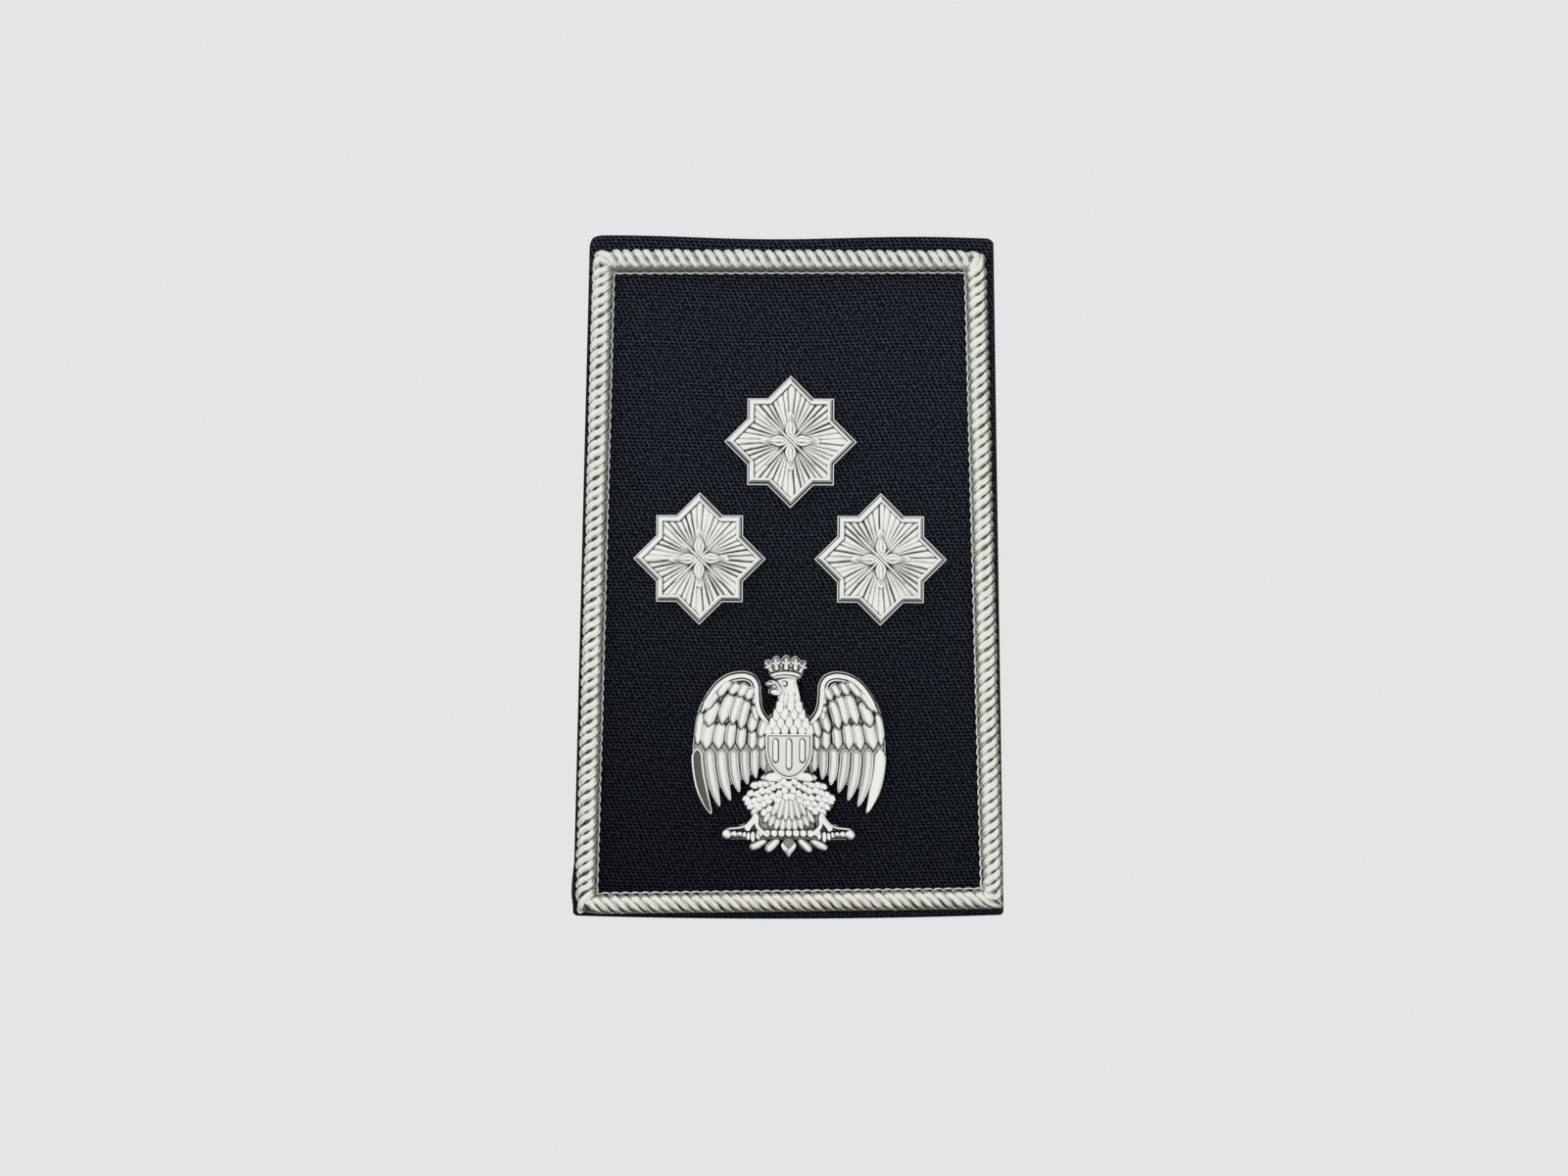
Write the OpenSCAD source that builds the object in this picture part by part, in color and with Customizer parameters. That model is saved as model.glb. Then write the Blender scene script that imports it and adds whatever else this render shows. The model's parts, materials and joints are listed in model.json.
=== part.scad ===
// Slip-on shoulder board: a flat tapered cloth sleeve with a twisted metallic cord sewn round
// its front panel, three cast eight-pointed stars and one cast crowned eagle.
// Millimetres. X runs across the board, +Y towards the neck end, +Z out of the front panel.
// The sleeve lies on its back, and the origin is the middle of the face that it lies on.

/* [Sleeve] */
// Length of the sleeve from the shoulder end to the neck end
sleeve_l = 95; // [85:1:110]
// Width across the neck end
neck_w = 56.4; // [54:0.2:60]
// Width across the shoulder end
shoulder_w = 60.2; // [58:0.2:66]
// Thickness of the front panel, cloth over a stiff board
front_t = 1.3; // [1:0.1:2]
// Thickness of the cloth at the sides and the back
cloth_t = 1; // [1:0.1:1.6]
// Height of the hollow that the shoulder strap runs through
hollow_h = 5.2; // [5:0.1:8]
// Radius of the front panel's folded edge
front_r = 0.9; // [0.6:0.1:1.2]
// Radius of the fold between the sides and the back
back_r = 3; // [2:0.1:3.6]
// Depth of the slow wave in the neck end's edge
neck_wave = 0.44; // [0:0.02:0.8]
// Length of one wave along the neck end's edge
neck_wave_l = 42; // [30:1:60]
// How far the corners of the shoulder end draw back
shoulder_bow = 0.5; // [0:0.05:1]
// How much shorter the back panel is than the front at the shoulder end
back_short = 2; // [0:0.1:4]

/* [Cord border] */
// Width of the twisted cord
cord_w = 3; // [2.4:0.1:3.4]
// Height of the twisted cord above the cloth
cord_h = 2; // [1.4:0.1:2.6]
// Length of one turn of the twist along the cord
cord_pitch = 1.404; // [1.2:0.02:1.8]
// Lean of each turn, along the cord for each unit across it
cord_lean = 0.65; // [0.3:0.05:0.8]
// Distance of the cord's centreline from the sleeve's side, at the left of the neck end
cord_in_neck_left = 2; // [1.7:0.1:4]
// The same, at the right of the neck end
cord_in_neck_right = 2.7; // [1.7:0.1:4]
// The same, at the right of the shoulder end
cord_in_shoulder_right = 1.8; // [1.7:0.1:4]
// The same, at the left of the shoulder end
cord_in_shoulder_left = 1.8; // [1.7:0.1:4]
// Distance of the cord's centreline from the neck end
cord_in_neck = 3.5; // [2.6:0.1:5]
// Distance of the cord's centreline from the shoulder end, at the left
cord_in_end_left = 1.9; // [1.8:0.1:4]
// The same, at the right
cord_in_end_right = 3; // [1.8:0.1:4]

/* [Stars] */
// Length of a star from point to opposite point
star_w = 18.5; // [16:0.1:20]
// Width of the square that makes a star's four short points
star_square = 12.1; // [11:0.1:13]
// Width of the raised rim round a star
star_rim_w = 0.62; // [0.4:0.02:0.9]
// Height of the rim above the star's back
star_rim_h = 1.5; // [1.2:0.1:2]
// Height of the rays next to the rim
star_field_h = 1.05; // [0.8:0.05:1.15]
// Height of the rays at the star's middle
star_crown_h = 1.9; // [1.6:0.1:2.2]
// Depth of the grooves between the rays
star_groove = 0.3; // [0.1:0.05:0.4]
// Spread of the sloping outer side of the rim
star_bevel = 0.3; // [0.1:0.05:0.5]
// Distance between the middles of the two lower stars
star_spacing = 25.2; // [21:0.1:27]
// Distance of the two lower stars' middles from the sleeve's middle, towards the neck end
star_low_y = 2.4; // [0:0.1:4]
// Distance of the upper star's middle from the lower ones', towards the neck end
star_rise = 16.3; // [15:0.1:18]

/* [Eagle] */
// Span of the wings
eagle_w = 26.8; // [24:0.1:30]
// Height from the crown's tips to the lowest leaf
eagle_h = 28.1; // [26:0.1:30]
// Distance of the eagle's middle from the sleeve's middle, towards the shoulder end
eagle_low_y = 24.9; // [24:0.1:27]
// Thickness of the plate that carries the eagle's relief
eagle_plate_t = 0.9; // [0.6:0.05:1.2]
// Step in height from one row of feathers to the next
eagle_step = 0.3; // [0.15:0.05:0.4]
// Rounding of the cast edges, seen from the front
eagle_soft = 0.05; // [0.02:0.01:0.08]

/* [Fastening] */
// Diameter of the posts behind the badges
post_d = 1.6; // [1:0.1:2.4]
// Diameter of the push-on washers that hold the posts
washer_d = 5; // [4:0.1:7]
// Thickness of the push-on washers
washer_t = 0.6; // [0.4:0.05:0.8]
// Distance between the eagle's two posts
eagle_post_spacing = 12; // [8:0.1:16]
// Clearance round each post in its hole
post_gap = 0.1; // [0.05:0.05:0.2]
// Clearance between faces that lie on each other
seat_gap = 0.05; // [0.03:0.01:0.1]

/* [Hidden] */

sleeve_h = cloth_t + hollow_h + front_t;
ceiling_z = cloth_t + hollow_h;
badge_z = sleeve_h + seat_gap;
washer_z = ceiling_z - seat_gap - washer_t;
eagle_y = -eagle_low_y;

// Where each star sits: across, and towards the neck end
star_at = [
    [0, star_low_y + star_rise],
    [-star_spacing / 2, star_low_y],
    [star_spacing / 2, star_low_y]
];
eagle_post_at = [[0, eagle_y + eagle_post_spacing / 2], [0, eagle_y - eagle_post_spacing / 2]];

// Shapes of the sleeve's edges
wave_shift = 3;         // the neck wave's lowest place, left of the middle
shoulder_lean = 0.2;    // how far the shoulder end's bow sits off the middle, as a share of half its width
corner_steps = 4;       // flat faces round each fold of the cloth
edge_steps = 10;        // straight stretches along each panel's edge
sleeve_stations = [0, 0.03, 0.5, 0.97, 1];

function half_width(y) = (shoulder_w + (neck_w - shoulder_w) * (y / sleeve_l + 0.5)) / 2;
function neck_edge(x) = sleeve_l / 2
    - neck_wave / 2 * (1 + cos(360 * (x + wave_shift) / neck_wave_l));
function shoulder_edge(x) = -sleeve_l / 2
    + shoulder_bow * pow(2 * x / shoulder_w + shoulder_lean, 2);
// 0 at the front panel's level and 1 at the back panel's
function backness(z) = min(1, max(0, (ceiling_z - z) / (ceiling_z - cloth_t)));

// One loop round the sleeve, as [share of the half width less inset, inset, z], from the back fold
// on the right over the front to the left and back along the back panel
function fold(side, r, z, from, to) = [for (i = [0 : corner_steps])
    let (a = from + (to - from) * i / corner_steps)
    [side, side * (r * cos(a) - r), z + r * sin(a)]];
function run(from, to, r, z) = [for (i = [1 : edge_steps - 1])
    let (s = from + (to - from) * i / edge_steps) [s, -s * r, z]];
function sleeve_loop(inset) = let (
        bottom = inset,
        top = sleeve_h - (inset > 0 ? front_t : 0),
        rb = max(back_r - inset, 0.2),
        rf = max(front_r - inset, 0.2)
    ) concat(
        fold(1, rb, bottom + rb, -90, 0),
        fold(1, rf, top - rf, 0, 90),
        run(1, -1, rf, top),
        fold(-1, rf, top - rf, 90, 0),
        fold(-1, rb, bottom + rb, 0, -90),
        run(-1, 1, rb, bottom)
    );
function sleeve_ring(inset, share) = [for (p = sleeve_loop(inset))
    let (
        x_end = p[0] * (shoulder_w / 2 - inset) + p[1],
        y_low = shoulder_edge(x_end) + back_short * backness(p[2]),
        x_neck = p[0] * (neck_w / 2 - inset) + p[1],
        y = y_low + (neck_edge(x_neck) - y_low) * share
    )
    [p[0] * (half_width(y) - inset) + p[1], y, p[2]]];

// Faces of a surface that closes on itself both ways, from rings of equal length
function torus_faces(rings, n) = [for (j = [0 : rings - 1], i = [0 : n - 1], t = [0, 1])
    let (
        j2 = (j + 1) % rings,
        i2 = (i + 1) % n,
        a = j * n + i,
        b = j * n + i2,
        c = j2 * n + i2,
        d = j2 * n + i
    )
    t == 0 ? [a, b, c] : [a, c, d]];
module closed_sweep(rings) {
    n = len(rings[0]);
    polyhedron(points = [for (r = rings, p = r) p], faces = torus_faces(len(rings), n));
}

// The cord's corners, clockwise from the left of the neck end
function cord_corner(side, y, in) = [side * (half_width(y) - in), y];
cord_corners = [
    cord_corner(-1, sleeve_l / 2 - cord_in_neck, cord_in_neck_left),
    cord_corner(1, sleeve_l / 2 - cord_in_neck, cord_in_neck_right),
    cord_corner(1, -sleeve_l / 2 + cord_in_end_right, cord_in_shoulder_right),
    cord_corner(-1, -sleeve_l / 2 + cord_in_end_left, cord_in_shoulder_left)
];
// Section of one turn of the cord: share of its half width, share of its height
cord_section = [[-0.8, 0], [-1, 0.42], [-0.5, 0.95], [0.5, 0.95], [1, 0.42], [0.8, 0]];
cord_waist = [0.9, 0.78];   // width and height of the cord between two turns, as shares
cord_fan = 4;               // length over which the turns fan out into a mitred corner

function unit(v) = v / norm(v);
function left_of(v) = [-v[1], v[0]];
function cord_side(i) = unit(cord_corners[(i + 1) % 4] - cord_corners[i % 4]);
function mitre(i) = let (a = left_of(cord_side(i + 3)), b = left_of(cord_side(i)))
    (a + b) / (1 + a * b);
function cord_ring(i, s, length, crest) = let (
        d = cord_side(i),
        out = left_of(d),
        enter = max(0, 1 - s / cord_fan),
        leave = max(0, 1 - (length - s) / cord_fan),
        lean = enter * (mitre(i) * d) + leave * (mitre(i + 1) * d)
            - (1 - enter - leave) * cord_lean,
        wide = crest ? 1 : cord_waist[0],
        high = crest ? 1 : cord_waist[1]
    )
    [for (p = cord_section)
        let (u = p[0] * wide * cord_w / 2, at = cord_corners[i] + d * (s + u * lean) + out * u)
        [at[0], at[1], badge_z + p[1] * high * cord_h]];
cord_rings = [for (i = [0 : 3])
    let (
        length = norm(cord_corners[(i + 1) % 4] - cord_corners[i]),
        turns = round(length / cord_pitch)
    )
    for (k = [0 : 2 * turns - 1]) cord_ring(i, length * k / (2 * turns), length, k % 2 == 1)];

// A star's outline is the larger of a square and a square set on its corner
function star_r(a, inset) = max(
    (star_square / 2 - inset) / max(abs(cos(a)), abs(sin(a))),
    (star_w / 2 - inset * sqrt(2)) / (abs(cos(a)) + abs(sin(a)))
);
// Angle from a long point to the notch beside it
star_notch = atan((star_w - star_square) / star_square);
star_long_steps = 6;    // grooves and ridges from a long point to its notch
star_short_steps = 4;   // and from the notch to the short point
star_eighth = concat(
    [for (i = [0 : star_long_steps - 1]) star_notch * i / star_long_steps],
    [for (i = [0 : star_short_steps - 1]) star_notch + (45 - star_notch) * i / star_short_steps]
);
star_angles = [for (q = [0 : 3]) each concat(
    [for (a = star_eighth) 90 * q + a],
    [90 * q + 45],
    [for (i = [len(star_eighth) - 1 : -1 : 1]) 90 * q + 90 - star_eighth[i]]
)];
star_core = 1.2;        // radius inside which the rays run together
// Buds between the arms of the star's cross: shares of the half length
bud_from = 0.06;
bud_widest = 0.24;
bud_to = 0.44;
bud_half_w = 0.085;
bud_rise = 0.35;
cross_l = 0.62;         // length of the cross's bars, as a share of the star's length
cross_w = 0.4;
cross_rise = 0.3;

// The eagle's tables: distances as shares of half the wing span across and half the height up,
// from the badge's middle. One wing is listed, outward positive, and mirrored.
span = eagle_w / 2;
rise = eagle_h / 2;
WING_EDGE = [
    // out, up
    [0.1, 0.3], [0.18, 0.355], [0.245, 0.42], [0.28, 0.5], [0.29, 0.6], [0.3, 0.72],
    [0.35, 0.8], [0.43, 0.84], [0.52, 0.845], [0.65, 0.81], [0.77, 0.725], [0.87, 0.59],
    [0.945, 0.44], [0.985, 0.25], [1, 0.06], [1, -0.1], [0.95, -0.36], [0.84, -0.43],
    [0.72, -0.4], [0.6, -0.35], [0.48, -0.28], [0.38, -0.2], [0.27, -0.1], [0.12, 0]
];
LEADING_EDGE = [
    // out, up
    [0.93, 0.435], [0.855, 0.58], [0.765, 0.695], [0.645, 0.782], [0.515, 0.812],
    [0.405, 0.79], [0.335, 0.72], [0.316, 0.61], [0.297, 0.49], [0.25, 0.395], [0.16, 0.335]
];
leading_w = 0.055;
// root out, root up, tip out, tip up, width, bend
PRIMARIES = [
    [0.955, 0.06, 0.796, -0.58, 0.1, 0.04],
    [0.828, 0.06, 0.709, -0.505, 0.085, 0.03],
    [0.706, 0.06, 0.606, -0.453, 0.085, 0.025],
    [0.585, 0.06, 0.506, -0.371, 0.08, 0.02],
    [0.464, 0.06, 0.428, -0.312, 0.075, 0.015],
    [0.355, 0.06, 0.344, -0.256, 0.066, 0.01],
    [0.272, 0.06, 0.27, -0.153, 0.056, 0]
];
SECONDARIES = [
    [0.9, 0.42, 0.972, 0.062, 0.058, 0.01],
    [0.806, 0.29, 0.858, 0.055, 0.092, 0.01],
    [0.693, 0.29, 0.736, 0.052, 0.095, 0.01],
    [0.578, 0.285, 0.616, 0.05, 0.092, 0.01],
    [0.475, 0.255, 0.503, 0.05, 0.083, 0.005],
    [0.371, 0.21, 0.39, 0.052, 0.074, 0],
    [0.28, 0.18, 0.29, 0.052, 0.064, 0]
];
MEDIANS = [
    [0.735, 0.51, 0.83, 0.295, 0.085, 0.02],
    [0.604, 0.6, 0.726, 0.28, 0.097, 0.01],
    [0.51, 0.585, 0.61, 0.295, 0.095, 0.01],
    [0.43, 0.535, 0.506, 0.265, 0.09, 0.01],
    [0.35, 0.44, 0.42, 0.2, 0.078, 0.01],
    [0.25, 0.335, 0.316, 0.18, 0.072, 0]
];
LESSERS = [
    [0.61, 0.73, 0.775, 0.59, 0.075, 0.02],
    [0.745, 0.61, 0.905, 0.43, 0.09, 0.02],
    [0.535, 0.715, 0.612, 0.6, 0.078, 0],
    [0.45, 0.73, 0.522, 0.585, 0.086, 0],
    [0.375, 0.69, 0.445, 0.545, 0.086, 0]
];
// Half widths of the body behind the relief: up, half width
BODY = [
    [0.78, 0.1], [0.66, 0.11], [0.52, 0.13], [0.43, 0.17], [0.34, 0.24], [0.1, 0.26], [-0.2, 0.26],
    [-0.27, 0.36], [-0.35, 0.46], [-0.43, 0.495], [-0.51, 0.47], [-0.58, 0.38], [-0.66, 0.33],
    [-0.74, 0.33], [-0.82, 0.3]
];
// Rows of neck scales: up, half way across the row, number
NECK_SCALES = [[0.5, 0, 1], [0.45, 0.075, 2], [0.37, 0.135, 3], [0.28, 0.19, 4]];
// Rings of breast scales round a point behind the shield: radius, first angle, last angle, number
BREAST_SCALES = [[0.25, 42, 88, 3], [0.33, 38, 84, 4], [0.41, 38, 80, 5], [0.49, 41, 72, 4]];
breast_y = -0.2;
// Fan of tail feathers: where it starts, its longest feather, angle between feathers
TAIL = [0.12, 0.56, 8];
// Row of small ovals along the perch: half its length, its height up, number
PERCH_ROW = [0.3, -0.775, 9];
// Leaves under the perch, as the feathers
LEAVES = [
    [0, -0.78, 0, -1, 0.14, 0],
    [0.08, -0.8, 0.245, -0.945, 0.09, 0.01],
    [0.2, -0.81, 0.42, -0.915, 0.085, 0.01]
];
LEG = [[0.33, -0.57], [0.4, -0.65], [0.48, -0.705], [0.58, -0.725], [0.66, -0.745]];
shield_half_w = 0.243;
shield_top = 0.215;
shield_tip = -0.23;
shield_rim = 0.03;
crown_x = -0.037;
crown_spread = 0.108;

// Smooth curve through points p, with n steps from each to the next
function smooth(p, n, closed = false) = let (m = len(p)) [
    for (i = [0 : closed ? m - 1 : m - 2], k = [0 : n - 1])
        let (
            a = p[closed ? (i + m - 1) % m : max(i - 1, 0)],
            b = p[i],
            c = p[(i + 1) % m],
            d = p[closed ? (i + 2) % m : min(i + 2, m - 1)],
            t = k / n
        )
        b + t * (c - a) / 2 + t * t * (a - 2.5 * b + 2 * c - d / 2)
            + t * t * t * (1.5 * (b - c) + (d - a) / 2),
    if (!closed) p[m - 1]
];
// A strip of width w along a line, drawn in to nothing at both ends
function along(line, i) = unit(line[min(i + 1, len(line) - 1)] - line[max(i - 1, 0)]);
function strip(line, w, taper) = let (m = len(line) - 1) concat(
    [for (i = [0 : m]) line[i] + left_of(along(line, i)) * w / 2 * taper(i / m)],
    [for (i = [m : -1 : 0]) line[i] - left_of(along(line, i)) * w / 2 * taper(i / m)]
);
function badge_point(p) = [p[0] * span, p[1] * rise];
// A feather's outline: an oval, a blade that is widest near its root, or a plume near its tip
oval = function (t) sqrt(max(0.01, 1 - pow(2 * t - 1, 2)));
blade = function (t) min(1, sqrt(t * 8 + 0.05)) * min(1, sqrt((1 - t) * 1.6 + 0.01));
plume = function (t) (0.2 + 0.8 * t) * min(1, sqrt((1 - t) * 5 + 0.01));
even = function (t) min(1, 0.35 + 3 * min(t, 1 - t));
function feather_line(f) = let (
        a = badge_point([f[0], f[1]]),
        b = badge_point([f[2], f[3]]),
        steps = 5
    )
    [for (i = [0 : steps]) let (t = i / steps)
        a + (b - a) * t + [4 * f[5] * span * t * (1 - t), 0]];

module feathers(rows, z0, z1, shape, from = 0) {
    translate([0, 0, z0])
        linear_extrude(z1 - z0)
            offset(delta = eagle_soft)
                for (side = [-1, 1], f = rows)
                    scale([side, 1])
                        polygon(strip(feather_line(f), f[4] * span - 2 * eagle_soft, shape));
}

module both_sides() {
    children();
    mirror([1, 0, 0]) children();
}

module cloth_sleeve() {
    color("#1b2028")
        difference() {
            closed_sweep(concat(
                [for (s = sleeve_stations) sleeve_ring(0, s)],
                [for (i = [len(sleeve_stations) - 1 : -1 : 0])
                    sleeve_ring(cloth_t, sleeve_stations[i])]
            ));
            for (at = concat(star_at, eagle_post_at))
                translate([at[0], at[1], cloth_t + hollow_h / 2])
                    cylinder(h = sleeve_h, d = post_d + 2 * post_gap, $fn = 32);
        }
}

module cord_border() {
    color("#e6e6dc") closed_sweep(cord_rings);
}

// The ring of points at height z where the star's outline is inset, or none at its middle
function star_level(inset, z, groove) = [for (i = [0 : len(star_angles) - 1])
    let (a = star_angles[i], r = star_r(a, inset))
    [r * cos(a), r * sin(a), z - (i % 2 == 1 ? groove : 0)]];
function star_core_level() = [for (i = [0 : len(star_angles) - 1])
    let (a = star_angles[i])
    [star_core * cos(a), star_core * sin(a), star_crown_h - (i % 2 == 1 ? star_groove : 0)]];

module star_casting() {
    n = len(star_angles);
    levels = [
        star_core_level(),
        star_level(star_bevel + star_rim_w, star_field_h, star_groove),
        star_level(star_bevel + star_rim_w, star_rim_h, 0),
        star_level(star_bevel, star_rim_h, 0),
        star_level(0, 0, 0)
    ];
    last = len(levels) - 1;
    polyhedron(
        points = concat([for (l = levels, p = l) p], [[0, 0, star_crown_h], [0, 0, 0]]),
        faces = concat(
            [for (i = [0 : n - 1]) [n * (last + 1), (i + 1) % n, i]],
            [for (j = [0 : last - 1], i = [0 : n - 1], t = [0, 1])
                let (k = (i + 1) % n)
                t == 0 ? [j * n + i, j * n + k, (j + 1) * n + k]
                    : [j * n + i, (j + 1) * n + k, (j + 1) * n + i]],
            [for (i = [0 : n - 1]) [n * (last + 1) + 1, last * n + i, last * n + (i + 1) % n]]
        )
    );
}

module bud() {
    half = star_w / 2;
    low = star_field_h - star_groove;
    top = star_crown_h + bud_rise;
    polyhedron(
        points = [
            [bud_from * half, 0, low],
            [bud_widest * half, -bud_half_w * half, low],
            [bud_to * half, 0, low],
            [bud_widest * half, bud_half_w * half, low],
            [bud_widest * half, 0, top]
        ],
        faces = [[0, 1, 2, 3], [1, 0, 4], [2, 1, 4], [3, 2, 4], [0, 3, 4]]
    );
}

module post(h) {
    cylinder(h = h, d = post_d, $fn = 32);
}

module star(at) {
    post_from = washer_z;
    color("silver")
        translate([at[0], at[1], 0]) {
            translate([0, 0, badge_z]) {
                star_casting();
                for (a = [0 : 90 : 270]) rotate([0, 0, a]) bud();
                for (a = [45, 135])
                    rotate([0, 0, a])
                        translate([-cross_l * star_w / 2, -cross_w / 2, star_field_h / 2])
                            cube([cross_l * star_w, cross_w,
                                star_crown_h + cross_rise - star_field_h / 2]);
            }
            translate([0, 0, post_from]) post(badge_z + star_field_h / 2 - post_from);
        }
}

module wing_plate() {
    linear_extrude(eagle_plate_t)
        both_sides() polygon([for (p = smooth(WING_EDGE, 3, true)) badge_point(p)]);
}

module body_plate() {
    side = smooth(BODY, 3);
    linear_extrude(eagle_plate_t + eagle_step)
        polygon(concat(
            [for (p = side) badge_point([p[1], p[0]])],
            [for (i = [len(side) - 1 : -1 : 0]) badge_point([-side[i][1], side[i][0]])]
        ));
}

module scales(rows, z1, shape = oval) {
    translate([0, 0, eagle_plate_t / 2])
        linear_extrude(z1 - eagle_plate_t / 2)
            offset(delta = eagle_soft)
                for (f = rows)
                    polygon(strip(feather_line(f), f[4] * span - 2 * eagle_soft, shape));
}

module neck_and_breast(z1) {
    scale_l = 0.09;
    scale_w = 0.07;
    scales([for (row = NECK_SCALES, i = [0 : row[2] - 1])
        let (x = row[2] == 1 ? 0 : row[1] * (2 * i / (row[2] - 1) - 1))
        [x, row[0] + scale_l / 2, x, row[0] - scale_l / 2, scale_w, 0]], z1);
    scales([for (ring = BREAST_SCALES, side = [-1, 1], i = [0 : ring[3] - 1])
        let (
            a = side * (ring[1] + (ring[2] - ring[1]) * i / (ring[3] - 1)),
            d = [sin(a), -cos(a)],
            r = ring[0]
        )
        [d[0] * (r - scale_l / 2), breast_y + d[1] * (r - scale_l / 2),
            d[0] * (r + scale_l / 2), breast_y + d[1] * (r + scale_l / 2), scale_w, 0]], z1);
}

module tail(z1) {
    scales([for (i = [-4 : 4])
        let (a = TAIL[2] * i, d = [sin(a), -cos(a)], long = TAIL[1] - 0.004 * i * i)
        [d[0] * TAIL[0], breast_y + d[1] * TAIL[0], d[0] * long, breast_y + d[1] * long, 0.066, 0]],
        z1, plume);
    scales([for (i = [0 : PERCH_ROW[2] - 1])
        let (x = PERCH_ROW[0] * (2 * i / (PERCH_ROW[2] - 1) - 1))
        [x, PERCH_ROW[1] + 0.03, x, PERCH_ROW[1] - 0.03, 0.062, 0]], z1 + eagle_step / 2);
}

module perch(z1) {
    feathers(LEAVES, 0, eagle_plate_t + eagle_step, oval);
    translate([0, 0, eagle_plate_t / 2])
        linear_extrude(z1 - eagle_plate_t / 2)
            offset(delta = eagle_soft)
                both_sides() {
                    polygon(strip([for (p = smooth(LEG, 3)) badge_point(p)], 0.05 * span, even));
                    translate([0.655 * span, -0.775 * rise]) circle(0.055 * span, $fn = 16);
                    translate([0.28 * span, -0.8 * rise]) square([0.38 * span, 0.06 * rise]);
                }
    linear_extrude(eagle_plate_t)
        both_sides()
            polygon([for (p = [[0, -0.83], [0.68, -0.82], [0.7, -0.74], [0.52, -0.71],
                [0.4, -0.62], [0.3, -0.52], [0, -0.5]]) badge_point(p)]);
}

// A shield with a straight top, straight flanks and a pointed foot
function shield_outline(inset) = let (
        half = shield_half_w * span - inset,
        top = shield_top * rise - inset,
        tip = shield_tip * rise + inset * 1.4,
        flank = top - (top - tip) * 0.35,
        steps = 8
    )
    concat(
        [[-half, top], [half, top]],
        [for (i = [0 : steps]) let (t = i / steps) [half * cos(90 * t), flank + (tip - flank) * t]],
        [for (i = [steps - 1 : -1 : 0])
            let (t = i / steps) [-half * cos(90 * t), flank + (tip - flank) * t]]
    );

module shield(z_field, z_rim) {
    rim = shield_rim * span;
    linear_extrude(z_field) polygon(shield_outline(0));
    linear_extrude(z_rim)
        difference() {
            polygon(shield_outline(0));
            polygon(shield_outline(rim));
        }
    // Three plain upright bars
    for (i = [-1 : 1])
        translate([(0.29 * i * shield_half_w * 2 - 0.03) * span, -0.08 * rise, 0])
            cube([0.06 * span, (shield_top + 0.04) * rise, z_rim]);
}

module head_and_crown(z1) {
    linear_extrude(z1)
        offset(delta = eagle_soft) {
                translate([-0.02 * span, 0.68 * rise]) circle(0.11 * span, $fn = 20);
                polygon(strip(feather_line([-0.06, 0.715, -0.24, 0.7, 0.075, -0.01]), 0.07 * span, blade));
                polygon(strip(feather_line([-0.06, 0.65, -0.2, 0.615, 0.05, 0]), 0.06 * span, blade));
            }
    linear_extrude(z1 + eagle_step)
        offset(delta = eagle_soft) {
            translate([(crown_x - 0.15) * span, 0.79 * rise]) square([0.3 * span, 0.045 * rise]);
            for (i = [-2 : 2])
                polygon(strip([
                    badge_point([crown_x + 0.06 * i, 0.8]),
                    badge_point([crown_x + 0.085 * i, 0.88 - 0.006 * i * i]),
                    badge_point([crown_x + crown_spread * i, 0.975 - 0.012 * i * i])
                ], 0.075 * span, even));
        }
    linear_extrude(z1 - eagle_step)
        polygon([for (p = [[-0.14, 0.8], [-0.2, 0.9], [0.13, 0.9], [0.07, 0.8]]) badge_point(p)]);
}

module eagle() {
    h = [for (i = [0 : 5]) eagle_plate_t + (i + 1) * eagle_step];
    color("silver") {
        translate([0, eagle_y, badge_z]) {
            wing_plate();
            body_plate();
            feathers(PRIMARIES, 0, h[0], blade);
            feathers(SECONDARIES, eagle_plate_t / 2, h[1], oval);
            feathers(MEDIANS, eagle_plate_t / 2, h[2], oval);
            feathers(LESSERS, eagle_plate_t / 2, h[3], oval);
            translate([0, 0, eagle_plate_t / 2])
                linear_extrude(h[3] + eagle_step / 2 - eagle_plate_t / 2)
                    offset(delta = eagle_soft)
                        both_sides()
                            polygon(strip([for (p = smooth(LEADING_EDGE, 3)) badge_point(p)],
                                leading_w * span, even));
            neck_and_breast(h[2]);
            tail(h[1]);
            perch(h[2]);
            shield(h[2] + eagle_step / 2, h[3] + eagle_step / 2);
            head_and_crown(h[3]);
        }
        for (at = eagle_post_at)
            translate([at[0], at[1], washer_z])
                post(badge_z + eagle_plate_t / 2 - washer_z);
    }
}

module washer(at) {
    color("darkgray")
        translate([at[0], at[1], washer_z])
            difference() {
                cylinder(h = washer_t, d = washer_d, $fn = 48);
                translate([0, 0, -washer_t])
                    cylinder(h = 3 * washer_t, d = post_d + 2 * post_gap, $fn = 32);
            }
}

cloth_sleeve();
cord_border();
star(star_at[0]);  // star_top
star(star_at[1]);  // star_left
star(star_at[2]);  // star_right
eagle();
washer(star_at[0]);  // washer_star_top
washer(star_at[1]);  // washer_star_left
washer(star_at[2]);  // washer_star_right
washer(eagle_post_at[0]);  // washer_eagle_upper
washer(eagle_post_at[1]);  // washer_eagle_lower
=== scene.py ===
"""Looks of a slip-on shoulder board: a twill sleeve edged with metallic cord, with cast silver badges.

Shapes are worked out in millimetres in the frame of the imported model: X across the board, +Y towards
the neck end, +Z out of the front panel. new_piece() turns them into metres.
"""
import json
import math

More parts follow.
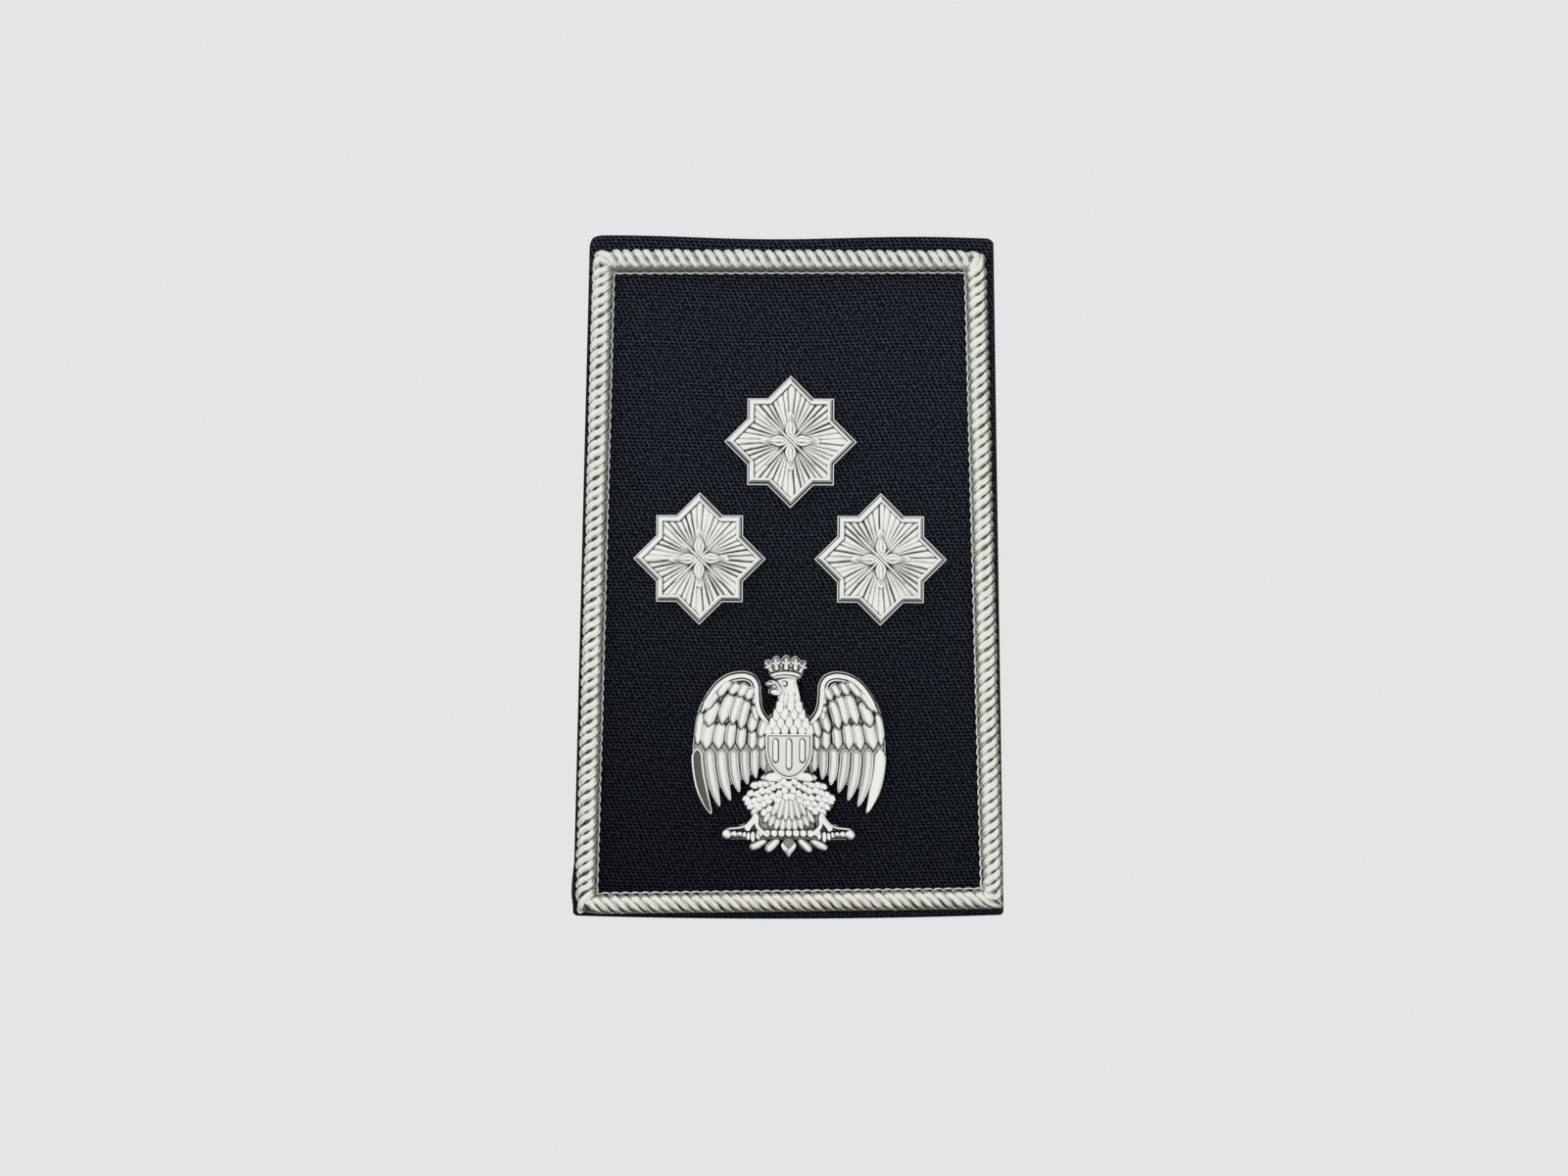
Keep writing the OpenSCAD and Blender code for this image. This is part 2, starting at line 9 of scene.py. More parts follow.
import bpy
import numpy as np
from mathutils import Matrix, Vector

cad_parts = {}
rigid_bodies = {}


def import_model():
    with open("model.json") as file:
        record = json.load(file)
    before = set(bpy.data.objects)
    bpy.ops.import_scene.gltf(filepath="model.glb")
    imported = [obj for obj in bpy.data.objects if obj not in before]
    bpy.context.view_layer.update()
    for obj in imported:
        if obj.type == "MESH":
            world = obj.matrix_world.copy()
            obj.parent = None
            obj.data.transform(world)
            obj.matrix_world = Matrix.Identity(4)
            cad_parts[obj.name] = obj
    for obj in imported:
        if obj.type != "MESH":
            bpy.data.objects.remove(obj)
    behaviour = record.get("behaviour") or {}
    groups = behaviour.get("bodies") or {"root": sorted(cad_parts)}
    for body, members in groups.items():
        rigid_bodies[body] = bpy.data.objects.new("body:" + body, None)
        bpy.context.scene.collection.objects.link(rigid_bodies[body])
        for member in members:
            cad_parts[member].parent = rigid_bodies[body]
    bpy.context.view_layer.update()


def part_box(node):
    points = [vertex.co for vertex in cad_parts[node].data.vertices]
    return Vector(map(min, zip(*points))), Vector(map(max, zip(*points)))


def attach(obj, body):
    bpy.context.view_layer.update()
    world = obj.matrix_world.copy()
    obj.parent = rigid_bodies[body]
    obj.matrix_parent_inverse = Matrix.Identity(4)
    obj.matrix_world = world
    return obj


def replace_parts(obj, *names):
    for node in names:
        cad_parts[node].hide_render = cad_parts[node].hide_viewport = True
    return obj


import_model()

mm = 0.001
rng = np.random.default_rng(7)


# Soft light, pale floor and camera. The board lies flat under an even overhead light that leans to
# the upper left, in a warm, darker room with dark flags below and at the upper right, which the bright
# metal mirrors. The pale floor's light is nearly all its own, so that its shadow is faint.
sensor_w = 36
lens = 50
frame_w = 218.1
front_level = 8
look_at = (-0.82, -1.64)
roll = 0.288
floor_drop = 0.1
floor_half = 3000
floor_pale = (0.8, 0.8, 0.8)
floor_glow_share = 0.96
clip_near = 10
# how near a direction is to the middle of the sky as a cosine, colour
SKY = [
    (0.0, (0.13, 0.1, 0.08)),
    (0.2, (0.26, 0.22, 0.18)),
    (0.4, (0.58, 0.57, 0.54)),
    (0.62, (0.88, 0.89, 0.87)),
    (1.0, (0.91, 0.92, 0.9)),
]
sky_lean = (-0.2, 0.2, 0.96)
# towards, cosines at its soft edge and where it is full, how dark
FLAGS = [((-0.4, -0.78, 0.48), (0.7, 0.95), 0.7), ((0.7, 0.52, 0.5), (0.84, 0.97), 0.75)]


class Shade:
    """A socket in a node tree. Arithmetic on it adds Math nodes, and node() adds any other node."""

    def __init__(self, tree, socket=None):
        self.tree = tree
        self.socket = socket

    def node(self, kind, settings=None, inputs=None, out=0):
        """A new node: its settings are set first, then its inputs get values or links."""
        made = self.tree.nodes.new(kind)
        for name, value in (settings or {}).items():
            if name == "stops":
                set_stops(made.color_ramp, value)
            else:
                setattr(made, name, value)
        for name, value in (inputs or {}).items():
            if isinstance(value, Shade):
                self.tree.links.new(value.socket, made.inputs[name])
            else:
                made.inputs[name].default_value = value
        return Shade(self.tree, made.outputs[out] if len(made.outputs) else None)

    def math(self, operation, *values):
        """A Math node with these values in its inputs, in their order."""
        inputs = dict(enumerate(values))
        return self.node("ShaderNodeMath", {"operation": operation}, inputs)

    def __add__(self, other):
        return self.math("ADD", self, other)

    def __radd__(self, other):
        return self.math("ADD", other, self)

    def __rsub__(self, other):
        return self.math("SUBTRACT", other, self)

    def __mul__(self, other):
        return self.math("MULTIPLY", self, other)

    def __rmul__(self, other):
        return self.math("MULTIPLY", other, self)

    def __truediv__(self, other):
        return self.math("DIVIDE", self, other)

    def __pow__(self, other):
        return self.math("POWER", self, other)

    def cos(self):
        """The cosine of this."""
        return self.math("COSINE", self)

    def between(self, low, high):
        """0 below low, 1 above high, and a smooth rise from one to the other."""
        return self.node("ShaderNodeMapRange", {"interpolation_type": "SMOOTHSTEP"},
                         {"Value": self, "From Min": low, "From Max": high})

    def blend(self, first, second):
        """The colour first where this is 0 and second where it is 1."""
        return self.node("ShaderNodeMix", {"data_type": "RGBA"},
                         {"Factor": self, 6: rgba(first), 7: rgba(second)}, out=2)

    def place(self):
        """Places on the object, in metres."""
        return self.node("ShaderNodeTexCoord", out=3)

    def hollow(self):
        """How much painted shade a point has, from 0 to 1."""
        return self.node("ShaderNodeAttribute", {"attribute_name": "hollow"}, out=2)

    def split(self):
        """The first two parts of this place, across and along."""
        return [self.node("ShaderNodeSeparateXYZ", inputs={0: self}, out=part) for part in (0, 1)]

    def noise(self, scale, detail, out=0):
        """Noise at this place: its value, or its colour with out=1."""
        inputs = {"Vector": self, "Scale": scale, "Detail": detail}
        return self.node("ShaderNodeTexNoise", inputs=inputs, out=out)

    def bump(self, depth, strength):
        """The normal of a surface that this raises by up to depth mm."""
        inputs = {"Height": self, "Distance": depth * mm, "Strength": strength}
        return self.node("ShaderNodeBump", inputs=inputs)


def rgba(colour):
    """A colour with full alpha. A Shade stays as it is."""
    return colour if isinstance(colour, Shade) else (*colour, 1)


def set_stops(ramp, stops):
    """Gives a colour ramp its stops, each (position, colour)."""
    while len(ramp.elements) > 1:
        ramp.elements.remove(ramp.elements[-1])
    for index, (position, colour) in enumerate(stops):
        stop = ramp.elements[0] if index == 0 else ramp.elements.new(position)
        stop.position = position
        stop.color = rgba(colour)


def shaded(data, shading, output="ShaderNodeOutputMaterial"):
    """Gives a material or a world the surface that shading makes of its emptied graph."""
    data.use_nodes = True
    data.node_tree.nodes.clear()
    graph = Shade(data.node_tree)
    graph.node(output, inputs={"Surface": shading(graph)})
    return data


def new_material(name, shading):
    """A material with the surface that shading makes of its graph."""
    return shaded(bpy.data.materials.new(name), shading)


def soft_room(graph):
    """World light: a ramp by the dot product with the middle of the sky, times a dip round each flag."""
    direction = graph.node("ShaderNodeTexCoord")

    def nearness(towards):
        """The cosine of the angle between the way looked in and towards."""
        way = tuple(np.array(towards) / np.linalg.norm(towards))
        inputs = {0: direction, 1: way}
        return graph.node("ShaderNodeVectorMath", {"operation": "DOT_PRODUCT"}, inputs, out=1)

    sky = graph.node("ShaderNodeValToRGB", {"stops": SKY}, {0: nearness(sky_lean)})
    level = 1
    for towards, edges, dark in FLAGS:
        level = (1 - nearness(towards).between(*edges) * dark) * level
    return graph.node("ShaderNodeBackground", inputs={"Color": sky, "Strength": level})


def floor_paint(graph):
    """Pale paint whose light is nearly all glow and a little matt, and that is clear from below."""
    matt = graph.node("ShaderNodeBsdfDiffuse", inputs={"Color": rgba(floor_pale)})
    glow = graph.node("ShaderNodeEmission", inputs={"Color": rgba(floor_pale), "Strength": 1.0})
    both = graph.node("ShaderNodeMixShader", inputs={0: floor_glow_share, 1: matt, 2: glow})
    clear = graph.node("ShaderNodeBsdfTransparent")
    below = graph.node("ShaderNodeNewGeometry", out=6)
    return graph.node("ShaderNodeMixShader", inputs={0: below, 1: both, 2: clear})


def pale_floor():
    """A large square just under the board."""
    corners = np.array([(-1, -1, 0), (1, -1, 0), (1, 1, 0), (-1, 1, 0)]) * floor_half - [0, 0, floor_drop]
    mesh = bpy.data.meshes.new("floor")
    mesh.from_pydata(corners * mm, [], [(0, 1, 2, 3)])
    mesh.materials.append(new_material("pale_floor", floor_paint))
    floor = bpy.data.objects.new("floor", mesh)
    bpy.context.collection.objects.link(floor)


def overhead_camera():
    """Looks straight down, turned as the photograph is, from where the frame is frame_w wide."""
    data = bpy.data.cameras.new("camera")
    data.sensor_width = sensor_w
    data.lens = lens
    data.clip_start = clip_near * mm
    camera = bpy.data.objects.new("camera", data)
    distance = frame_w * lens / sensor_w
    camera.location = (look_at[0] * mm, look_at[1] * mm, (front_level + distance) * mm)
    camera.rotation_euler = (0, 0, math.radians(roll))
    bpy.context.collection.objects.link(camera)
    bpy.context.scene.camera = camera


bpy.context.scene.world = shaded(bpy.data.worlds.new("soft_room"), soft_room, "ShaderNodeOutputWorld")
pale_floor()
overhead_camera()
bpy.context.scene.view_settings.view_transform = "Standard"


# Cloth sleeve. A tube of dark navy twill round a stiff board: the front panel is flat with a folded
# edge, the sides and the back are cloth alone, and the tube is closed by a seam down the back. The
# neck end waves a little, and the back ends short of the front at the shoulder end.
sleeve_l = 95
sleeve_h = (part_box("cloth_sleeve")[1].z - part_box("cloth_sleeve")[0].z) / mm
neck_w = 56.4
shoulder_w = 60.2
front_t = 1.3
cloth_t = 1
front_r = 0.9
back_r = 3
least_r = 0.2
neck_wave = 0.44
neck_wave_l = 42
wave_shift = 3
shoulder_bow = 0.5
shoulder_out = 0.35
shoulder_lean = 0.2
back_short = 2
# how round each corner of the front panel is, by its side and its end
corner_r = {(-1, 1): 1.7, (1, 1): 1.0, (1, -1): 0.6, (-1, -1): 0.6}
fold_steps = 10
front_steps = 120
back_steps = 50
length_steps = 190
hem_steps = 8
inside_steps = 8
seam_dip = 0.35
seam_w = 0.22
side_swell = 0.6
swell_at = -44.5
swell_l = 4.5
swell_from = -46.6
swell_rise = 1.3
side_wave = 0.3
side_wave_l = 6.4
swell_power = 20
ripple = 0.045
ripple_across = 5.1
ripple_along = 7.3
ripple_lean = 9
ripple_sway = 0.6
weft_pitch = 0.475
warp_pitch = 0.227
weave_depth = 0.09
yarn_wander = (0.16, 0.14, 0)
slant_share = 0.55
pick_share = 0.45
ridge_power = 1.5
# scale and detail of each noise
yarn_noise = (0.9, 3)
blotch_noise = (2.3, 4)
fibre_noise = (1.5, 6)
fibre_stretch = (0.8, 2.6, 1)
hole_edges = (0.07, 0.45)
blotch_edges = (0.3, 0.7)
fibre_edges = (0.74, 0.78)
# painted shade in the holes of the weave, then the cloth's two tones and its pale fibres
navy_hole_shade = (0.0004, 0.0006, 0.001)
navy_low = (0.0108, 0.0138, 0.0185)
navy_high = (0.064, 0.078, 0.104)
navy_fibre = (0.16, 0.17, 0.18)
# painted shade where the light falls off: from and to, along and across the board, and how much at each side
falloff_shade_along = (-90, 45)
falloff_shade_across = (-30, 30)
falloff_shade_left = 0.78
falloff_shade_right = 0.56


def grid_faces(rows, columns, closed=False):
    """Quads between neighbours on a grid of rows by columns; closed joins the last column to the first."""
    across = columns if closed else columns - 1
    row, column = np.meshgrid(np.arange(rows - 1), np.arange(across), indexing="ij")
    beside = (column + 1) % columns
    quads = [row * columns + column, row * columns + beside,
             (row + 1) * columns + beside, (row + 1) * columns + column]
    return np.stack(quads, -1).reshape(-1, 4)


def fan_faces(first, count, middle, turned=False):
    """Triangles from a ring of points to one point in its middle."""
    here = first + np.arange(count)
    beside = first + (np.arange(count) + 1) % count
    ring = (beside, here) if turned else (here, beside)
    return np.stack([*ring, np.full(count, middle)], -1)


def new_piece(name, parts, material, crease=30, uv=None):
    """One object from parts, each (points in mm, arrays of faces, how much painted shade each point has,
    from 0 to 1). Edges sharper than crease degrees stay sharp, and uv is a place on the cloth for each face
    corner."""
    starts = np.cumsum([0] + [len(points) for points, _, _ in parts])
    faces = [some + start for (_, many, _), start in zip(parts, starts) for some in many]
    sizes = np.concatenate([np.full(len(f), f.shape[1]) for f in faces])
    mesh = bpy.data.meshes.new(name)
    points = np.concatenate([points for points, _, _ in parts])
    mesh.vertices.add(len(points))
    mesh.vertices.foreach_set("co", (points * mm).astype(np.float32).ravel())
    mesh.loops.add(int(sizes.sum()))
    mesh.loops.foreach_set("vertex_index", np.concatenate([f.ravel() for f in faces]).astype(np.int32))
    mesh.polygons.add(len(sizes))
    mesh.polygons.foreach_set("loop_start", (np.cumsum(sizes) - sizes).astype(np.int32))
    mesh.polygons.foreach_set("use_smooth", np.ones(len(sizes), bool))
    if uv is not None:
        mesh.uv_layers.new(name="cloth").data.foreach_set("uv", uv.astype(np.float32).ravel())
    hollow = np.concatenate([np.broadcast_to(depth, len(points)) for points, _, depth in parts])
    mesh.attributes.new("hollow", "FLOAT", "POINT").data.foreach_set("value", hollow.astype(np.float32))
    mesh.update(calc_edges=True)
    mesh.set_sharp_from_angle(angle=math.radians(crease))
    mesh.materials.append(material)
    piece = bpy.data.objects.new(name, mesh)
    bpy.context.collection.objects.link(piece)
    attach(piece, "root")
    return piece


def sleeve_section(thick):
    """The loop round the sleeve at a share of its wall's thickness, from the seam in the middle of the
    back by the right side, the front and the left side: share of the half width, inset, height."""
    bottom = thick * cloth_t
    top = sleeve_h - thick * front_t
    rb = max(back_r - bottom, least_r)
    rf = max(front_r - thick * front_t, least_r)

    def fold(side, r, z, first, last):
        """An arc of radius r at one side, from one angle to another."""
        turn = np.radians(np.linspace(first, last, fold_steps + 1))
        return np.stack([np.full_like(turn, side), side * (r * np.cos(turn) - r), z + r * np.sin(turn)], -1)

    def run(first, last, steps, r, z):
        """A flat stretch without its last point, and without its first where an arc ends."""
        share = np.linspace(first, last, steps, endpoint=False)[1 if abs(first) == 1 else 0:]
        return np.stack([share, -share * r, np.full_like(share, z)], -1)

    return np.concatenate([
        run(0, 1, back_steps, rb, bottom),
        fold(1, rb, bottom + rb, -90, 0),
        fold(1, rf, top - rf, 0, 90),
        run(1, -1, front_steps, rf, top),
        fold(-1, rf, top - rf, 90, 0),
        fold(-1, rb, bottom + rb, 0, -90),
        run(-1, 0, back_steps, rb, bottom),
    ])


def half_width(y):
    """Half the sleeve's width, on a straight line from one end's to the other's."""
    return (shoulder_w + (neck_w - shoulder_w) * (y / sleeve_l + 0.5)) / 2


def round_corners(x, y, level):
    """Draws the corners of the panel in: in the square in each corner, a point's distance from the
    square's inner corner becomes the fourth root of the sum of the fourth powers of its two parts."""
    for (side, end), r in corner_r.items():
        middle_x = side * (half_width(end * sleeve_l / 2) - r)
        middle_y = end * (sleeve_l / 2 - r) - (end < 0) * (back_short * (1 - level) + shoulder_out)
        dx = (x - middle_x) * side
        dy = (y - middle_y) * end
        inside = (dx > 0) & (dy > 0)
        draw = np.where(inside, (dx ** 4 + dy ** 4) ** 0.25 / np.maximum(np.hypot(dx, dy), 1e-9), 1)
        x = np.where(inside, middle_x + side * dx * draw, x)
        y = np.where(inside, middle_y + end * dy * draw, y)
    return x, y


def sleeve_ring(thick, share, push=0):
    """One loop of the sleeve at a share of its length, drawn push times the hem's half thickness along
    the board. The neck edge is a slow cosine, the shoulder edge a parabola, and the back stops
    back_short before the front at the shoulder end. Crossed sines ripple the front, the seam is a dip
    of a bell-curve section, and the sides swell in a slow wave and near the shoulder end's left."""
    section = sleeve_section(thick)
    side, inset, z = section.T
    level = np.clip((z - cloth_t) / (sleeve_h - front_t - cloth_t), 0, 1)
    wall = thick * cloth_t
    x_low = side * (shoulder_w / 2 - wall) + inset
    y_low = -sleeve_l / 2 - shoulder_out + shoulder_bow * (2 * x_low / shoulder_w + shoulder_lean) ** 2
    y_low = y_low + back_short * (1 - level)
    x_high = side * (neck_w / 2 - wall) + inset
    y_high = sleeve_l / 2 - neck_wave / 2 * (1 + np.cos(2 * np.pi * (x_high + wave_shift) / neck_wave_l))
    hem = (front_t * level + cloth_t * (1 - level)) / 2
    y = (y_low + hem) + (y_high - y_low - 2 * hem) * share + push * hem
    x = side * (half_width(y) - wall) + inset
    x, y = round_corners(x, y, level)
    outer = 1 - thick
    front = np.clip((z - (sleeve_h - front_r)) / front_r, 0, 1)
    slow = np.sin(x / ripple_across + ripple_sway * np.sin(y / ripple_lean)) * np.cos(y / ripple_along + 1)
    z = z + ripple * front * (slow - 0.5)
    z = z + outer * (1 - level) * seam_dip * np.exp(-(x / seam_w) ** 2)
    bulge = np.exp(-((y - swell_at) / swell_l) ** 2)
    bulge = bulge * np.clip((y - swell_from) / swell_rise, 0, 1) * (side < 0)
    bulge = bulge + side_wave * np.sin(y / side_wave_l + side) ** 2
    reach = np.clip(1 - level, 0, 1) ** 0.5 * np.abs(side) ** swell_power * (level < 1)
    x = x + side * side_swell * bulge * reach
    return np.stack([x, y, z], -1)


def sleeve_rings():
    """Outer rows, the round of the neck hem, inner rows back, and the round of the shoulder hem."""
    turn = np.linspace(0, np.pi, hem_steps + 1)[1:-1]
    shares = (1 - np.cos(turn)) / 2
    rings = [sleeve_ring(0, s) for s in (1 - np.cos(np.linspace(0, np.pi, length_steps))) / 2]
    rings += [sleeve_ring(t, 1, push) for t, push in zip(shares, np.sin(turn))]
    rings += [sleeve_ring(1, s) for s in np.linspace(1, 0, inside_steps)]
    rings += [sleeve_ring(t, 0, -push) for t, push in zip(shares[::-1], np.sin(turn))]
    return np.stack(rings + rings[:1])


def cloth_places(rings):
    """Where each grid point lies on the flat cloth, in mm: across, the distance along the loop from
    the middle of the front, and along, the distance from ring to ring."""
    looped = np.concatenate([rings, rings[:, :1]], 1)
    steps = np.linalg.norm(np.diff(looped, axis=1), axis=-1)
    across = np.concatenate([np.zeros((len(rings), 1)), np.cumsum(steps, 1)], 1)
    middle = back_steps + 2 * (fold_steps + 1) + front_steps // 2 - 1
    across = -(across - across[:, middle:middle + 1])
    along = np.concatenate([[0], np.cumsum(np.linalg.norm(np.diff(rings[:, middle], axis=0), axis=-1))])
    return np.stack([across, np.broadcast_to(along[:, None] - sleeve_l / 2, across.shape)], -1)


def navy_twill(graph):
    """Twill with warp ends warp_pitch and weft picks weft_pitch apart. Painted shade darkens the holes that
    lie where three ends meet a pick: two cosines along the weave's two slants are high together there.
    Noise makes the yarn uneven, and thin pale fibres lie on top. Painted shade also darkens the cloth
    towards the shoulder end, most of all at its left, where the light falls off."""
    place = graph.node("ShaderNodeUVMap", {"uv_map": "cloth"})
    wander = graph.node("ShaderNodeVectorMath", {"operation": "MULTIPLY_ADD"},
                        {0: place.noise(*yarn_noise, out=1), 1: yarn_wander, 2: place})
    x, y = wander.split()
    repeat = 3 * warp_pitch
    slant = (x / repeat + y * (warp_pitch / repeat / weft_pitch)) * (2 * np.pi)
    pick = y * (2 * np.pi / weft_pitch)
    hole = ((slant.cos() + 1) * (pick.cos() + 1)) / 4
    ridge = (slant.cos() * 0.5 + 0.5) * slant_share + (pick.cos() * 0.5 + 0.5) * pick_share
    colour = place.noise(*blotch_noise).between(*blotch_edges).blend(navy_low, navy_high)
    # painted shade in the holes of the weave
    colour = hole.between(*hole_edges).blend(colour, navy_hole_shade)
    stretch = graph.node("ShaderNodeMapping", inputs={"Vector": place, "Scale": fibre_stretch})
    colour = stretch.noise(*fibre_noise).between(*fibre_edges).blend(colour, navy_fibre)
    # painted shade where the light falls off towards the shoulder end, most on the left
    across, along = (part / mm for part in graph.place().split())
    falloff_shade = falloff_shade_left - across.between(*falloff_shade_across) * (falloff_shade_left - falloff_shade_right)
    colour = ((1 - along.between(*falloff_shade_along)) * falloff_shade).blend(colour, (0, 0, 0))
    return graph.node("ShaderNodeBsdfPrincipled", inputs={
        "Base Color": colour, "Roughness": 0.85, "Specular IOR Level": 0.02, "Sheen Weight": 0.0,
        "Normal": (1 - ridge ** ridge_power).bump(weave_depth, 1)})


def make_sleeve():
    """The sleeve as one closed sheet of quads that knows its places on the flat cloth."""
    rings = sleeve_rings()
    rows, columns = rings.shape[:2]
    faces = grid_faces(rows, columns, closed=True)
    place = cloth_places(rings)
    row, column = np.divmod(np.arange((rows - 1) * columns), columns)
    corners = [(row, column), (row, column + 1), (row + 1, column + 1), (row + 1, column)]
    uv = np.stack([place[corner] for corner in corners], 1)
    faces = faces[:, ::-1] % ((rows - 1) * columns)
    parts = [(rings[:-1].reshape(-1, 3), [faces], 0)]
    cloth = new_material("navy_twill", navy_twill)
    sleeve = new_piece("twill_sleeve", parts, cloth, 60, uv=uv[:, ::-1].reshape(-1, 2))
    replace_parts(sleeve, "cloth_sleeve")


make_sleeve()


# Cord border. One twisted cord of three strands on a core, each strand of seven fine metallic threads,
# is sewn round the front panel. It is flattened on the cloth, mitred at the corners, and its two ends
# meet at the left of the shoulder end. A fine thread runs in scallops along its inner foot.
cloth_top = sleeve_h
cord_half_w = 1.43
cord_h = 2
cord_middle = cloth_top + cord_h / 2
cord_lead = 4.212
cord_overlap = 0.15
fan_l = 1.9
rings_a_turn = 30
strands = 3
strand_r = 0.53
strand_square = 3.3
strand_swell = 0.05
outer_reach = 1.12
outer_square = 0.5
inner_square = 0.68
inner_slope = 0.05
flat_top = 0.33
edge_tilt = 0.2
# how far off the second point lies that tells which way a strand's section faces
probe = 0.01
threads = 7
thread_lead = 37
thread_dip = 0.07
points_a_thread = 4
# step along the cord and amount of each random walk
twist_wander = (1.9, 0.09)
path_wander = (1.4, 0.03)
height_wander = (1.4, 0.02)
size_wander = (1.4, 0.02)
foot_r = 0.13
foot_square = 6
foot_sides = 12
foot_lift = 0.35
scallop = 0.2
core_half_w = 1.3
core_half_h = 0.5
core_lift = 1.2
core_sides = 10
core_inwards = 1.8
# how much painted shade the core gets
core_dark = 0.9
# side, distance from the neck or shoulder end, distance from the side, how square the corner is
CORD_CORNERS = [
    (-1, -sleeve_l / 2 + 1.65, 1.85, 0.7),
    (-1, sleeve_l / 2 - 3.75, 2.05, 0.84),
    (1, sleeve_l / 2 - 3.5, 2.6, 0.76),
    (1, -sleeve_l / 2 + 2.65, 1.6, 0.94),
]
cord_silver = (0.99, 0.99, 0.95)
thread_metallic = 0.65
thread_rough = 0.24
grain_rougher = 0.1
thread_grain = (2600, 3)
grain_bump = (0.02, 0.6)
warm_shadow = (0.15, 0.125, 0.085)
cool_shadow = (0.085, 0.095, 0.095)
# how far across from the inner edge (-1) to the outer (1), share of a strand's width that is left bright,
# with painted shade beyond it
STRAND_BRIGHT = [(-1, 0.96), (-0.3, 0.94), (0.3, 0.9), (1, 0.86)]
# how softly the painted shade beside a strand's neighbours comes in, how much a shaded edge narrows the
# bright part, how softly the painted shade below the cord's middle comes in, and how dark the painted shade
# in the dips between threads is
groove_soft = 0.14
edge_narrows = 0.75
low_soft = 0.35
dip_dark = 0.7
# where the painted shade of an edge and of the seam starts across the cord, and how far it takes to be full
narrow_ramp = (0.05, 0.85)
edge_ramp = (0.7, 0.25)
seam_ramp = (-0.4, 1)
# the same for the painted shade of an edge across a strand, from its middle
flank_ramp = (0, 0.3)
# how much painted shade a low place gets at the least, at the most, and how much more at a shaded outer edge
low_least = 0.15
low_most = 0.8
low_more = 0.2
# how far along the cord the painted shade at the seam reaches
seam_l = 0.8
# Each run's name and the colour of its painted shadow, and its look at its start and at its end: how
# slanting the strands lie, how straight they run outwards, how much they narrow outwards, and inwards, how
# much painted shade darkens the outer edge, and the inner one, how clear the threads are by painted shade
# in their dips, how much more of a strand is left bright, and how many mm the strands stop short of the
# inner edge, with the foot thread as far inwards and the core wider and with less painted shade
CORD_RUNS = [
    ("cord_left", cool_shadow,
     (0, 0.2, 0, 0, 0.15, 0, 0.35, -0.08, 0.02), (0, 0, 0, 0, 0, 0, 0.6, 0.02, 0.02)),
    ("cord_neck", cool_shadow,
     (-0.22, 0.7, -0.08, 0.04, 0.05, 0.1, 0.6, 0.1, 0.18),
     (-0.14, 0.5, 0.04, 0.12, 0.35, 0.1, 0.6, 0.1, 0.08)),
    ("cord_right", warm_shadow, *[(0.05, 0.2, 0.02, 0, 0.8, 0, 0.5, 0.08, 0.02)] * 2),
    ("cord_shoulder", warm_shadow, *[(0.32, 0.8, 0.6, 0, 1, 0, 0.4, -0.02, 0.02)] * 2),
]


def unit(ways):
    """Directions at length 1."""
    return ways / np.linalg.norm(ways, axis=-1, keepdims=True)


def to_left(ways):
    """Flat directions at length 1 and turned a quarter to the left."""
    ways = unit(ways)
    return np.stack([-ways[:, 1], ways[:, 0]], -1)


def round_turn(count):
    """Angles evenly round a full turn."""
    return np.linspace(0, 2 * np.pi, count, endpoint=False)


def ramp(value, start, length):
    """0 up to start, 1 from length beyond it, and a straight rise between."""
    return np.clip((value - start) / length, 0, 1)


def cord_corners():
    """The cord's corners in order from where its ends meet, with the first again at the end."""
    places = [(side * (half_width(y) - inset), y) for side, y, inset, _ in CORD_CORNERS]
    return np.array(places + places[:1])


def run_starts():
    """How far along the cord each corner lies, as sums of the runs' lengths."""
    return np.concatenate([[0], np.cumsum(np.linalg.norm(np.diff(cord_corners(), axis=0), axis=1))])


def on_cord(s, u, z):
    """From along, out and up on a straight cord to the real place. Each run is a straight line, and
    near a corner the outward direction turns smoothly into the mitre, shortened to round it."""
    corners = cord_corners()
    runs = np.diff(corners, axis=0)
    ahead = unit(runs)
    out = to_left(runs)
    starts = run_starts()
    run = np.clip(np.searchsorted(starts, s, side="right") - 1, 0, 3)
    t = s - starts[run]
    square = np.array([corner[3] for corner in CORD_CORNERS + CORD_CORNERS[:1]])

    def fan(distance):
        """1 at a corner, 0 from fan_l away from it, and a smooth step between."""
        f = np.clip(1 - distance / fan_l, 0, 1)
        return f * f * (3 - 2 * f)

    enter = fan(t)
    leave = fan(np.linalg.norm(runs, axis=1)[run] - t)
    lean = leave - enter
    pull = 1 - enter * (1 - square[run]) - leave * (1 - square[run + 1])
    across = (out[run] + lean[..., None] * ahead[run]) * pull[..., None]
    place = corners[run] + ahead[run] * t[..., None] + across * u[..., None]
    return np.concatenate([place, z[..., None]], -1)


def swept_tube(centre, outward, radius):
    """Rings round a path: at each path point the section lies in the plane across the path, with its
    first direction as near as may be to outward. radius is by ring and by point round the ring."""
    ahead = unit(np.gradient(centre, axis=0))
    first = unit(outward - (outward * ahead).sum(1, keepdims=True) * ahead)
    second = np.cross(ahead, first)
    turn = round_turn(radius.shape[1])
    round_it = first[:, None] * np.cos(turn)[None, :, None] + second[:, None] * np.sin(turn)[None, :, None]
    return centre[:, None] + round_it * radius[:, :, None]


def squared(turn, square):
    """How far out a rounded square reaches at each angle, as a share of half its width."""
    return (np.abs(np.cos(turn)) ** square + np.abs(np.sin(turn)) ** square) ** (-1 / square)


